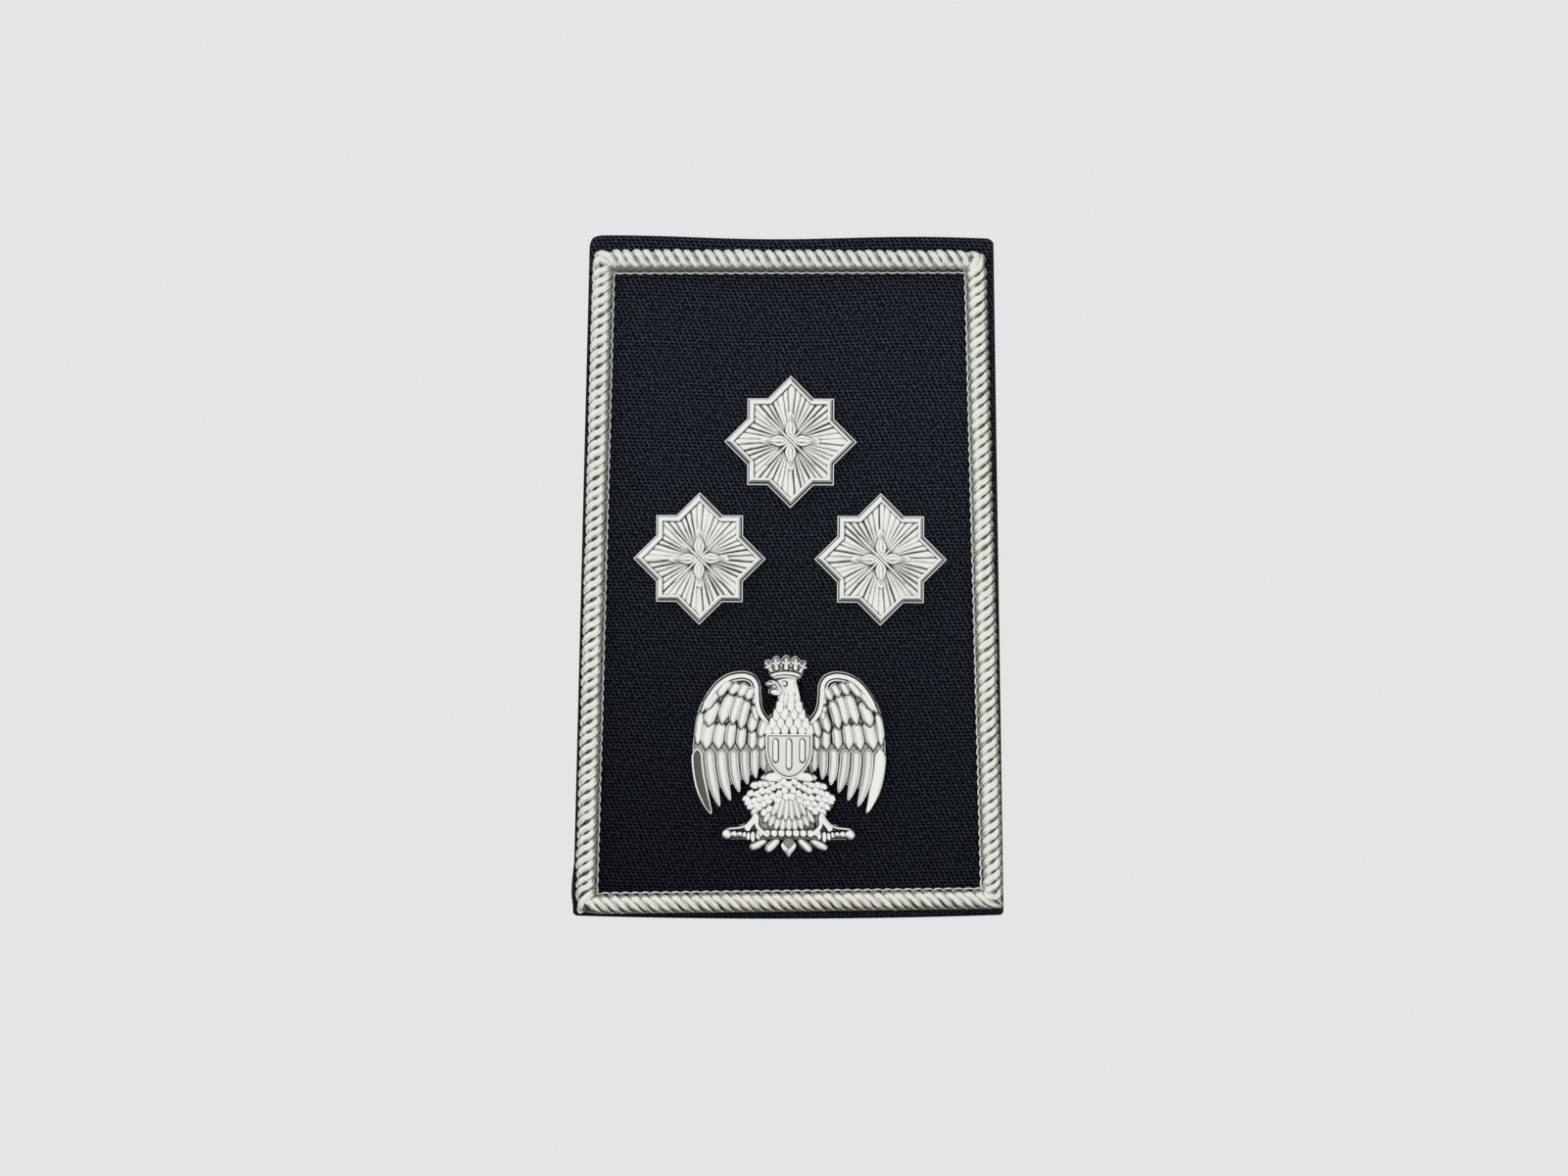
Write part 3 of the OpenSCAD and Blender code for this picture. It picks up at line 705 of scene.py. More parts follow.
def closed_tube(rings):
    """A part from rings, with both ends closed by fans."""
    rows, columns = rings.shape[:2]
    points = np.concatenate([rings.reshape(-1, 3), rings[:1].mean(1), rings[-1:].mean(1)])
    last = (rows - 1) * columns
    faces = [grid_faces(rows, columns, closed=True), fan_faces(0, columns, rows * columns, turned=True),
             fan_faces(last, columns, rows * columns + 1)]
    return points, faces, 0


def wander_along(s, step, amount):
    """A slow random walk: random values every step mm, joined by straight lines."""
    knots = np.arange(0, s.max() + 2 * step, step)
    return np.interp(s, knots, rng.normal(0, amount, len(knots)))


def strand_path(turn, s, look):
    """The middle of a strand, as out and up: a helix that is flat on top. On its way outwards it goes
    with a root of the cosine of its turn, or nearly straight, and on its way inwards with another root,
    to where the look lets it end. Its lower inner side is drawn out, so that it slopes."""
    swing = np.cos(turn)
    rise = np.sin(turn)
    _, direct, *_, inwards = look
    slope = inner_slope * (1 - rise) * (1 - swing) / 2
    reach = cord_half_w - strand_r
    outer = outer_reach * (1 - np.arccos(np.clip(swing, -1, 1)) * 2 / np.pi)
    outer = direct * outer + (1 - direct) * reach * np.clip(swing, 0, 1) ** outer_square
    inner = (inwards - reach) * np.clip(-swing, 0, 1) ** inner_square
    u = np.where(swing > 0, outer, inner) - slope + wander_along(s, *path_wander)
    z = (cord_h / 2 - strand_r) * np.sign(rise) * np.abs(rise) ** flat_top
    return u, cord_middle + z + wander_along(s, *height_wander)


def strand(number, s, look, seam):
    """One of the strands, with a squared section. Its outline has a crest for each thread and a sharp
    dip between. Painted shade darkens it beside its neighbours, in the dips, below the cord's middle,
    near the seam, and at the shaded edges but for its very top."""
    slant, _, outward, inward, outer_dark, inner_dark, clear, brighter, _ = look
    turn = 2 * np.pi * (s / cord_lead + number / strands) + wander_along(s, *twist_wander)
    swing = np.cos(turn)
    u, z = strand_path(turn, s, look)
    along = s - slant * u
    centre = on_cord(along, u, z)
    further = on_cord(along, u + probe * edge_tilt * swing, z + probe * np.sin(turn))
    place = round_turn(threads * points_a_thread)
    crest = np.abs(np.cos(threads * (place[None] + 2 * np.pi * s[:, None] / thread_lead) / 2))
    narrow = outward * np.clip(swing, 0, 1) ** 2 + inward * np.clip(-swing, 0, 1) ** 2
    size = strand_r * (1 - strand_swell * swing - narrow) + wander_along(s, *size_wander)
    radius = size[:, None] * squared(place, strand_square) - thread_dip * (1 - crest)
    rings = swept_tube(centre, further - centre, radius)
    beside = to_left(np.gradient(centre[:, :2], axis=0))
    out = (on_cord(along, u + 0.5, z) - on_cord(along, u - 0.5, z))[:, :2]
    from_centre = (rings - centre[:, None])[..., :2]
    off = np.abs((from_centre * beside[:, None]).sum(-1)) / size[:, None]
    across = (u[:, None] + (from_centre * out[:, None]).sum(-1)) / cord_half_w
    limit = np.interp(across, *np.array(STRAND_BRIGHT).T) + brighter[:, None]
    edges = []
    for dark, way in ((outer_dark[:, None], across), (inner_dark[:, None], -across)):
        limit = limit - edge_narrows * dark * ramp(way, *narrow_ramp)
        edges.append(dark * ramp(way, *edge_ramp) * ramp(off, *flank_ramp))
    groove = ramp(off, limit, groove_soft)
    low = ramp(cord_middle - rings[..., 2], 0, low_soft)
    low = low * np.clip(across + low_most, low_least, low_most + low_more * outer_dark[:, None])
    gap = seam[:, None] * ramp(across, *seam_ramp)
    dips = clear[:, None] * dip_dark * (1 - crest) ** 2
    return rings, np.max([groove, low, *edges, gap, dips], axis=0)


def core(s, inwards):
    """The cord's core, which make_cord darkens with painted shade: an ellipse carried along the cord,
    drawn out inwards, seen between the strands and beside them."""
    turn = (np.arange(core_sides) + 0.5) * 2 * np.pi / core_sides
    u = core_half_w * np.cos(turn) - core_inwards * inwards[:, None] * np.clip(-3 * np.cos(turn), 0, 1)
    z = cloth_top + core_half_h * (core_lift + np.sin(turn))
    return on_cord(np.repeat(s, core_sides), u.ravel(), np.tile(z, len(s))).reshape(len(s), -1, 3)


def foot_thread(s, inwards):
    """A fine thread with a squared section that runs under the strands' inner ends, inwards and up in
    a scallop for each strand."""
    bow = scallop * np.abs(np.sin(strands * np.pi * s / cord_lead))
    centre = on_cord(s, -cord_half_w - inwards - bow, cloth_top + foot_lift + bow)
    upward = np.broadcast_to([0.0, 0.0, 1.0], centre.shape)
    radius = foot_r * squared(round_turn(foot_sides), foot_square)
    return swept_tube(centre, upward, np.broadcast_to(radius, (len(s), foot_sides)))


def metal_thread(graph, shadow):
    """Bright metallic thread: a little rough, partly matt as many fine fibres are, darkened towards its
    run's shadow colour by painted shade, with fine grain along it."""
    grain = graph.place().noise(*thread_grain)
    return graph.node("ShaderNodeBsdfPrincipled", inputs={
        "Base Color": graph.hollow().between(0, 1).blend(cord_silver, shadow), "Metallic": thread_metallic,
        "Roughness": thread_rough + grain * grain_rougher, "Normal": grain.bump(*grain_bump)})


def make_cord():
    """The cord's four runs. Between its ends a run's look changes in a straight line."""
    starts = run_starts()
    s = np.linspace(-cord_overlap, starts[-1] + cord_overlap, round(starts[-1] / cord_lead * rings_a_turn))
    knots = np.stack([starts[:-1] + 1, starts[1:] - 1], -1).ravel()
    look = [np.interp(s, knots, column) for column in zip(*(ends for run in CORD_RUNS for ends in run[2:]))]
    inwards = look[-1]
    seam = np.exp(-((s - starts[-1]) / seam_l) ** 2)
    tubes = [strand(number, s, look, seam) for number in range(strands)]
    # the foot thread gets no painted shade, and the core much, less where it reaches further inwards
    for rings, deep in (foot_thread(s, inwards), 0), (core(s, inwards), core_dark - 2 * inwards[:, None]):
        tubes.append((rings, np.broadcast_to(deep, rings.shape[:2])))
    for number, (name, shadow, *_) in enumerate(CORD_RUNS):
        first = np.searchsorted(s, starts[number]) if number else 0
        last = np.searchsorted(s, starts[number + 1]) + 1 if number < 3 else len(s)
        parts = []
        for rings, deep in tubes:
            points, faces, _ = closed_tube(rings[first:last])
            parts.append((points, faces, np.concatenate([deep[first:last].ravel(), [1, 1]])))
        thread = new_material(name + "_thread", lambda graph: metal_thread(graph, shadow))
        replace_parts(new_piece(name, parts, thread, 80), "cord_border")


make_cord()


# Three stars. Each is cast in one piece: eight points with a flat rim over a sloping wall and a thin
# flange, rays that run out from the middle with cut grooves between, and four buds between the arms
# of a slender cross. A plain post behind goes through the cloth.
badge_z = cloth_top + 0.05
star_w = 18.5
star_square = 12.1
star_rim_w = 0.62
star_bevel = 0.34
star_field_h = 1.15
star_crown_h = 1.65
bud_foot = 1.1
rays = 48
ray_roof = 0.05
groove_depth = 0.26
groove_w = 0.078
groove_towards = math.radians(225)
groove_deeper = -0.05
groove_from = 0.8
groove_grows = 3.4
groove_varies = (0.4, 1.25)
groove_strays = 0.008
# how much painted shade the grooves between rays get
groove_dark = 0.75
long_steps = 44
short_steps = 28
field_steps = 46
leaf_rows = 14
# shares of a leaf's length: the most that each end takes, and where a tilted leaf is as high as asked
leaf_end = 0.45
leaf_level = 0.6
bar_w = 0.38
bar_l = 4.9
# a dip beside each bar of the cross, darkened with painted shade, both less above the bar
bar_gap = 0.13
bar_gap_depth = 0.2
bar_gap_above = 0.6
# from where the gap beside a bar fades, and over what length
bar_gap_fade = (1.32, 2.2)
# painted shade round the edge of the field, at the foot of the rim
field_foot_dark = 0.8
shift_above = 0.4
bar_rows = 20
bar_drop = 0.25
bar_lifts = {1: 0.26, -1: 0.46}
face_shift = np.array([0, 0.04])
field_shift = np.array([0.12, -0.08])
post_r = 0.8
post_bevel = 0.1
round_sides = 24
# inset from the outline, height, painted shade
STAR_EDGE = [
    (0.93, 1.5, 0.3), (0.87, 1.53, 0), (0.66, 1.53, 0), (0.6, 1.51, 0), (0.33, 1.34, 0), (0.29, 1.24, 0.5),
    (0.26, 0.45, 1), (0.18, 0.36, 1), (0.15, 0.35, 0.25), (0.03, 0.34, 0.25), (0, 0.28, 0.5), (0, 0, 0.5),
]
# how far out from the core, drop from the top in mm, painted shade
BUD = [(1.2, 9, 1), (1.18, 0.5, 1), (1, 0.06, 0.8), (0.9, 0.02, 0.3), (0.8, 0, 0), (0.5, -0.02, 0),
       (0.4, 0.04, 0.5), (0.3, -0.04, 0), (0.12, -0.08, 0)]
BAR = [(1.3, 9, 1), (1.05, 9, 0.9), (1, 0.1, 0.3), (0.6, 0, 0), (0.12, -0.02, 0)]
silver = (0.93, 0.93, 0.91)
# the colour of the painted shade, and the range of painted shade over which it comes in
silver_shade = (0.16, 0.15, 0.13)
silver_depths = (0.05, 1)
silver_rough = 0.17
scuffs_rougher = 0.12
hollows_rougher = 0.3
scuff_noise = (420, 5)
cast_grain = (3500, 2)


def star_reach(angle, inset):
    """How far the outline lies from the middle: the larger of a square and a square on its corner."""
    c = np.abs(np.cos(angle))
    s = np.abs(np.sin(angle))
    return np.maximum((star_square / 2 - inset) / np.maximum(c, s),
                      (star_w / 2 - inset * math.sqrt(2)) / (c + s))


def star_bearings():
    """Angles round the star, with one at each point and notch and even steps between."""
    notch = math.atan((star_w - star_square) / star_square)
    eighth = np.concatenate([np.linspace(0, notch, long_steps, endpoint=False),
                             np.linspace(notch, math.pi / 4, short_steps + 1)])
    quarter = np.concatenate([eighth, math.pi / 2 - eighth[-2:0:-1]])
    return np.concatenate([quarter + q * math.pi / 2 for q in range(4)])


def ray_field(angle, r, reach):
    """Height of the rays: a cone from the crown to the rim, a roof on each ray, and between each two
    a groove of a bell-curve section, cast at random deeper or less deep. Also the painted shade in the
    grooves."""
    cuts = (np.arange(rays) + 0.5) * 2 * math.pi / rays
    cast = (1 + groove_deeper * np.cos(cuts - groove_towards)) * rng.uniform(*groove_varies, rays)
    cuts += rng.normal(0, groove_strays, rays)
    off = (angle[..., None] - cuts + math.pi) % (2 * math.pi) - math.pi
    nearest = np.abs(off).argmin(-1)
    away = np.abs(np.take_along_axis(off, nearest[..., None], -1)[..., 0]) * r
    grow = ramp(r, groove_from, groove_grows) ** 0.8
    wide = groove_w * (0.45 + 0.55 * grow) * np.sqrt(cast[nearest])
    groove = np.exp(-(away / wide) ** 2) * grow
    roof = ray_roof * grow * np.clip(away * rays / (math.pi * r), 0, 1)
    cone = star_crown_h + (star_field_h - star_crown_h) * (r / reach)
    return cone + roof - groove_depth * cast[nearest] * groove, groove * groove_dark * cast[nearest]


def star_face():
    """Rings of the star from the middle of its face over the rim and down the wall to its back. Beside
    the arms of the cross painted shade darkens the face, most of all below them, and at the field's edge."""
    angle = star_bearings()
    field_edge = star_reach(angle, star_bevel + star_rim_w)
    share = np.linspace(0, 1, field_steps + 1)[1:, None]
    r = share * field_edge
    z, hollow = ray_field(np.broadcast_to(angle, r.shape), r, field_edge)
    x, y = r * np.cos(angle), r * np.sin(angle)
    place = np.stack([x, y], -1) + face_shift + field_shift * share[..., None] ** 2
    for side in bar_lifts:
        away = np.abs(x - side * y) / math.sqrt(2) - bar_w / 2 - bar_gap
        gap = np.exp(-(away / bar_gap) ** 2) * (1 - ramp(r, *bar_gap_fade))
        gap = gap * np.where(y < 0, 1, bar_gap_above)
        z = z - bar_gap_depth * gap
        hollow = np.maximum(hollow, gap)
    rings = [np.concatenate([place, z[..., None]], -1)]
    deep = [np.maximum(hollow, field_foot_dark * (share == 1))]
    for inset, level, dark in STAR_EDGE:
        reach = star_reach(angle, inset)
        shift = face_shift * (level > shift_above)
        ring = np.stack([reach * np.cos(angle) + shift[0], reach * np.sin(angle) + shift[1],
                         np.full_like(angle, level)], -1)
        rings.append(ring[None])
        deep.append(np.full((1, len(angle)), dark, float))
    rings = np.concatenate(rings)
    points = np.concatenate([rings.reshape(-1, 3), [[*face_shift, rings[0, :, 2].mean()], [0, 0, 0]]])
    rows, count = rings.shape[:2]
    middle = rows * count
    faces = [grid_faces(rows, count, closed=True)[:, ::-1], fan_faces(0, count, middle),
             fan_faces(middle - count, count, middle + 1, turned=True)]
    return points, faces, np.concatenate([np.concatenate(deep).ravel(), [0, 0.5]])


def capped(rings, deep):
    """A part from a stack of rings, with one flat face at each end, from how deep each ring lies."""
    rows, count = rings.shape[:2]
    around = np.arange(count)
    faces = [grid_faces(rows, count, closed=True), around[None, ::-1], (rows - 1) * count + around[None]]
    return rings.reshape(-1, 3), faces, np.repeat(deep, count)


def mound(outline, core, top, foot, section, deepen=1):
    """A closed form inside an outline: each ring of the section is the outline drawn in towards its
    core, at a drop from the top but never below the foot."""
    reach, drop, deep = np.array(section).T
    place = core + (outline - core) * reach[:, None, None]
    level = np.maximum(top - drop[:, None], foot) + np.zeros(len(outline))
    return capped(np.concatenate([place, level[..., None]], -1), np.clip(deep * deepen, 0, 1))


def there_and_back(values):
    """The values along one side of a line and back along the other."""
    return np.concatenate([values, values[::-1]])


def leaf(line, half_w, top, foot, section, tilt=0, deepen=1):
    """A mound along a line, such as a feather or a bar: half_w is half its width at each point of the
    line, and its core is the line without its ends. It rises by tilt from the root to the tip."""
    left = to_left(np.gradient(line, axis=0)) * half_w[:, None]
    run = np.concatenate([[0], np.cumsum(np.linalg.norm(np.diff(line, axis=0), axis=1))])
    end = min(half_w.max(), run[-1] * leaf_end)
    inner = np.clip(run, end, run[-1] - end)
    core = np.stack([np.interp(inner, run, line[:, 0]), np.interp(inner, run, line[:, 1])], -1)
    outline = np.concatenate([line - left, (line + left)[::-1]])
    level = top + there_and_back(tilt * (inner / run[-1] - leaf_level))
    return mound(outline, there_and_back(core), level, foot, section, deepen)


def straight(root, tip, rows, bend=0):
    """A line from root to tip with its points closer near its ends, bent sideways by bend."""
    t = (1 - np.cos(np.linspace(0, np.pi, rows))) / 2
    return np.array(root) + (np.array(tip) - root) * t[:, None] + np.outer(4 * t * (1 - t), [bend, 0]), t


def straight_leaf(root, tip, half_w, taper, top, foot, section, tilt=0, deepen=1):
    """A leaf along a straight line, as wide as its taper says at each share of its length."""
    line, t = straight(root, tip, leaf_rows)
    return leaf(line, half_w * taper(t), top, foot, section, tilt, deepen)


# The tapers: a leaf's width from its root (0) to its tip (1), as a share of its greatest width.
def kite(t):
    """Widest at a third of the length, with straight sides."""
    return np.minimum(1, np.interp(t, [0, 0.12, 0.38, 0.6, 0.85, 1], [0.12, 0.55, 1, 0.72, 0.3, 0.03]))


def oval(t):
    """A circle's half width to a power."""
    return np.sqrt(np.maximum(0.002, 1 - (2 * t - 1) ** 2)) ** 0.8


def covert(t):
    """A root of the distance from each end, rounder at the root."""
    return np.minimum(1, np.sqrt(5 * t + 0.2)) * np.minimum(1, (3.2 * (1 - t)) ** 0.62)


def even(t):
    """Even, with a root of the distance at both ends."""
    return np.minimum(1, np.sqrt(12 * np.minimum(t, 1 - t) + 0.01))


# how far out it starts and ends, half its width, taper, height over the crown, section
STAR_BUDS = [(2.6, 4.2, 0.5, oval, 0.02, BAR), (0.3, 3.6, 0.85, kite, 0.2, BUD)]


def star_ornament():
    """The four buds, each with a small leaf at its tip, and the two bars of the cross over them."""
    parts = []
    for quarter in range(4):
        way = np.array([math.cos(quarter * math.pi / 2), math.sin(quarter * math.pi / 2)])
        way = way @ [[1, rng.normal(0, 0.03)], [0, 1]]
        for start, stop, half_w, taper, lift, section in STAR_BUDS:
            line, t = straight(way * start, way * stop, leaf_rows)
            parts.append(leaf(line + face_shift, half_w * taper(t), star_crown_h + lift, bud_foot, section))
    for side, lift in bar_lifts.items():
        way = np.array([1, side]) * bar_l / math.sqrt(2)
        line, t = straight(-way, way, bar_rows)
        top = there_and_back(star_crown_h + lift - bar_drop * np.abs(2 * t - 1))
        parts.append(leaf(line + face_shift, bar_w / 2 * even(t), top, 1, BAR))
    return parts


def circle(radius, at):
    """Points evenly round a circle."""
    turn = round_turn(round_sides)
    return np.stack([np.cos(turn), np.sin(turn)], -1) * radius + at


def post(at, top):
    """A plain round post from inside the washer up to a height, at a place on the board."""
    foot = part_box("washer_star_top")[0].z / mm
    levels = [(post_r - post_bevel, foot), (post_r, foot + post_bevel), (post_r, top)]
    rings = [np.concatenate([circle(r, at), np.full((round_sides, 1), z)], 1) for r, z in levels]
    return closed_tube(np.stack(rings))


def cast_silver(graph):
    """Polished cast silver plate: bright on the heights, grey with painted shade and rougher in the
    hollows, with a very fine cast grain and a few soft scuffs."""
    deep = graph.hollow().between(*silver_depths)
    scuffs = graph.place().noise(*scuff_noise)
    return graph.node("ShaderNodeBsdfPrincipled", inputs={
        "Base Color": deep.blend(silver, silver_shade), "Metallic": 1,
        "Roughness": silver_rough + scuffs * scuffs_rougher + deep * hollows_rougher,
        "Normal": graph.place().noise(*cast_grain).bump(*grain_bump)})


def placed(parts, at):
    """The parts moved to a place on the board, on the cloth."""
    return [(points + [*at, badge_z], faces, deep) for points, faces, deep in parts]


def middle_of(node):
    """The middle of a node's box across and along the board, in mm."""
    low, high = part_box(node)
    return np.array([(low.x + high.x) / 2, (low.y + high.y) / 2]) / mm


plate_silver = new_material("cast_silver", cast_silver)
for star in ("star_top", "star_left", "star_right"):
    star_at = middle_of(star)
    star_parts = placed([star_face(), *star_ornament()], star_at) + [post(star_at, badge_z + 0.3)]
    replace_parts(new_piece(star + "_casting", star_parts, plate_silver, 30), star)


# Eagle. A crowned eagle with spread wings and a plain shield with three upright bars, on a perch with
# leaves below, cast in one piece and silver plated. Rows of feathers lie like scales on flat plates,
# and two posts behind go through the cloth.
eagle_w = 26.8
eagle_h = 28.1
eagle_at = (0, -24.9)
half_size = np.array([eagle_w / 2, eagle_h / 2])
plate_t = 0.9
step = 0.3
flange_soft = 0.12
furrow = 0.03
# painted shade in the furrow inside a plate's edge
rim_dark = 0.95
overlap = 0.02
# Places in these tables are shares of half the width and half the height, outwards and upwards from
# the middle. Those of the wings, legs and perch are for the right side, which is then mirrored.
WING_EDGE = [
    (0.1, 0.3), (0.18, 0.355), (0.245, 0.42), (0.28, 0.5), (0.29, 0.6), (0.3, 0.71), (0.35, 0.79),
    (0.43, 0.828), (0.52, 0.834), (0.65, 0.803), (0.77, 0.72), (0.87, 0.59), (0.945, 0.44), (0.985, 0.25),
    (1, 0.06), (1, -0.06), (0.965, -0.26), (0.86, -0.34), (0.74, -0.33), (0.62, -0.3), (0.5, -0.25),
    (0.4, -0.2), (0.27, -0.1), (0.12, 0),
]
wing_steps = 6
# first and last point of the wing's outline that it follows, distance inwards from it, width
WING_RIDGES = [(1, 12, 0.62, 0.72), (4, 9, 1.2, 0.26)]
# root out, root up, tip out, tip up, width, bend
PRIMARIES = [
    (0.952, 0.07, 0.8, -0.58, 0.124, 0.045), (0.822, 0.07, 0.713, -0.507, 0.118, 0.035),
    (0.698, 0.07, 0.606, -0.452, 0.118, 0.03), (0.574, 0.07, 0.51, -0.37, 0.114, 0.02),
    (0.458, 0.07, 0.43, -0.295, 0.104, 0.015), (0.352, 0.07, 0.345, -0.24, 0.096, 0.01),
    (0.266, 0.07, 0.268, -0.155, 0.076, 0),
]
SECONDARIES = [
    (0.908, 0.43, 0.955, 0.09, 0.098, 0.01), (0.805, 0.36, 0.866, 0.045, 0.14, 0.01),
    (0.69, 0.33, 0.736, 0.045, 0.128, 0.01), (0.584, 0.34, 0.617, 0.045, 0.122, 0.01),
    (0.48, 0.3, 0.502, 0.045, 0.116, 0.005), (0.378, 0.26, 0.388, 0.045, 0.106, 0),
    (0.282, 0.22, 0.29, 0.05, 0.09, 0),
]
MEDIANS = [
    (0.745, 0.54, 0.838, 0.28, 0.14, 0.015), (0.6, 0.62, 0.7, 0.3, 0.13, 0.01),
    (0.505, 0.62, 0.594, 0.295, 0.124, 0.01), (0.43, 0.56, 0.508, 0.25, 0.118, 0.01),
    (0.33, 0.44, 0.4, 0.218, 0.112, 0.01), (0.25, 0.37, 0.308, 0.172, 0.1, 0),
    (0.37, 0.5, 0.345, 0.34, 0.08, 0), (0.18, 0.3, 0.235, 0.2, 0.085, 0),
]
LESSERS = [
    (0.6, 0.74, 0.735, 0.57, 0.105, 0.02), (0.735, 0.635, 0.872, 0.44, 0.118, 0.02),
    (0.525, 0.73, 0.618, 0.6, 0.095, 0), (0.44, 0.72, 0.522, 0.58, 0.108, 0),
    (0.372, 0.68, 0.44, 0.545, 0.104, 0), (0.335, 0.6, 0.36, 0.5, 0.075, 0),
]
# how much the numbers of each feather's row vary, and its height
row_varies = [0.003] * 4 + [0.002, 0.003]
level_varies = 0.02
stagger = 0.05
# up, half width
BODY = [
    (0.78, 0.1), (0.66, 0.11), (0.52, 0.13), (0.43, 0.17), (0.34, 0.24), (0.1, 0.26), (-0.13, 0.25),
    (-0.2, 0.25), (-0.27, 0.3), (-0.33, 0.38), (-0.4, 0.44), (-0.46, 0.46), (-0.52, 0.44), (-0.58, 0.37),
    (-0.66, 0.32), (-0.74, 0.32), (-0.82, 0.3),
]
# up, how far across, number
NECK_SCALES = [
    (0.49, 0.015, 1), (0.475, 0.1, 2), (0.41, 0.05, 2), (0.4, 0.13, 2), (0.33, 0, 1), (0.325, 0.088, 2),
    (0.315, 0.17, 2), (0.255, 0.045, 2), (0.25, 0.13, 2), (0.245, 0.21, 2),
]
# distance from the breast's middle, first and last angle, number to a side
BREAST_SCALES = [
    (0.49, 48, 66, 4), (0.43, 40, 71, 5), (0.37, 36, 77, 5), (0.31, 32, 84, 5), (0.25, 28, 90, 5),
    (0.19, 22, 92, 4), (0.13, 20, 88, 3), (0.07, 25, 84, 2),
]
THIGH = (0.05, -0.185, 0.27, -0.228, 0.115, 0)
breast_y = -0.22
neck_scale = (0.145, 0.098)
breast_scale = (0.1, 0.084)
# how high the breast's feathers lie over the body's plate, and the other parts over them, in mm
breast_lift = 0.35
tail_lift = -0.1
tail_step = 0.25
thigh_lift = 0.4
neck_lift = 0.3
neck_rises = 0.9
streak_lift = 0.45
perch_row_lift = 0.2
scale_strays = 0.03
scale_varies = (0.9, 1.1)
# start, longest, angle between feathers, number
TAIL_TIERS = [(0.24, 0.545, 7.6, 9), (0.12, 0.43, 10, 6)]
tail_w = 0.09
tail_shortens = 0.0015
# half way across, up, number
PERCH_ROW = (0.3, -0.775, 9)
MIDDLE_LEAF = (0, -0.815, 0, -1, 0.165, 0)
MIDDLE_FACET = (0, -0.81, 0, -0.925, 0.13, 0)
SIDE_LEAVES = [(0.09, -0.82, 0.235, -0.95, 0.1, 0.01), (0.22, -0.835, 0.405, -0.92, 0.1, 0.01)]
PERCH = [
    (0, -0.83), (0.63, -0.833), (0.672, -0.82), (0.675, -0.735), (0.655, -0.712), (0.53, -0.697),
    (0.46, -0.675), (0.39, -0.61), (0.33, -0.52), (0, -0.5),
]
# line on the right, width, lift
PERCH_RIDGES = [
    ([(0.28, -0.785), (0.64, -0.778)], 0.72, -0.3),
    ([(0.335, -0.56), (0.36, -0.63), (0.41, -0.69), (0.44, -0.745)], 0.95, 0.05),
    ([(0.345, -0.57), (0.39, -0.635), (0.45, -0.69), (0.52, -0.71), (0.65, -0.722)], 0.3, 0.16),
    ([(0.325, -0.58), (0.33, -0.68), (0.285, -0.74), (0.2, -0.795)], 0.62, 0.08),
]
CLAWS = [(0.37, -0.74, 0.37, -0.855, 0.055, 0), (0.412, -0.75, 0.42, -0.835, 0.05, 0),
         (0.325, -0.76, 0.31, -0.83, 0.05, 0), (0.452, -0.745, 0.462, -0.81, 0.045, 0)]
# out, up, radius
PERCH_BEADS = [(0.638, -0.775, 0.74), (0.56, -0.772, 0.5), (0.503, -0.772, 0.42)]
shield_half_w = 0.243
shield_top = 0.221
shield_tip = -0.23
shield_flank = 0.35
# the middle and the foot of each upright bar, in mm
SHIELD_BARS = [(-1.85, -0.9), (0, -1.9), (1.85, -0.9)]
# Head and crown in mm from the middle. Streaks run down the neck: root, tip, width
BEAK_PLATE = [(-1.1, 10.7), (-2.6, 10.5), (-3.35, 10.1), (-3.3, 9.7), (-2.5, 9.4), (-2.9, 9.2),
              (-2.95, 8.7), (-2.3, 8.35), (-1, 8.3)]
NECK = ((-0.25, 10.2), (0.05, 5), 3.1)
STREAKS = [((-0.85, 9), (-1.4, 6.5), 0.72), ((-0.35, 9.3), (-0.6, 6.7), 0.6),
           ((0.25, 9.5), (0.35, 6.15), 0.95), ((0.95, 9.9), (1.4, 6.5), 0.68)]
HEAD = [
    (-1.6, 10.7), (-1.75, 10.2), (-1.45, 9.6), (-1.35, 9.0), (-1.25, 8.4), (-0.6, 8.1), (0.3, 8.1),
    (1.1, 8.5), (1.2, 9.4), (1.05, 10.2), (1.1, 10.9), (-0.2, 11.1),
]
head_core = (-0.2, 9.6)
BEAK_UPPER = ((-1.4, 10.25), (-3.2, 9.9), 0.6)
BEAK_LOWER = ((-1.1, 8.72), (-2.7, 8.88), 1.05)
# brow, jaw, cheek and nape: line, width, lift
HEAD_RIDGES = [
    ([(-2.5, 10.45), (-1.95, 10.15), (-1.5, 9.6), (-0.95, 8.75)], 0.32, 0.2),
    ([(-1.75, 9.5), (-1.4, 9.05), (-1.05, 8.5)], 0.26, 0.12),
    ([(-1.1, 10.35), (-0.95, 9.75), (-0.55, 9.3), (-0.45, 8.7)], 0.24, 0.04),
    ([(0.8, 10.35), (1, 9.6), (1.2, 8.8), (1.45, 7.7)], 0.3, 0.02),
]
EYE = (-0.65, 10)
eye_r = 0.4
CROWN = [
    (-2.7, 10.95), (-2.95, 11.8), (-3.5, 12.7), (-3.4, 13.2), (-2.95, 13.35), (-2.45, 13.2), (-2.2, 13.7),
    (-1.75, 13.9), (-1.3, 13.65), (-1.12, 13.35), (-0.9, 13.8), (-0.45, 14), (0.03, 13.8), (0.2, 13.4),
    (0.5, 13.75), (0.85, 13.9), (1.3, 13.6), (1.6, 13.2), (2.2, 13.3), (2.4, 12.95), (2.2, 12.3),
    (1.85, 11.5), (1.6, 10.8), (0.5, 10.5), (-1.5, 10.5),
]
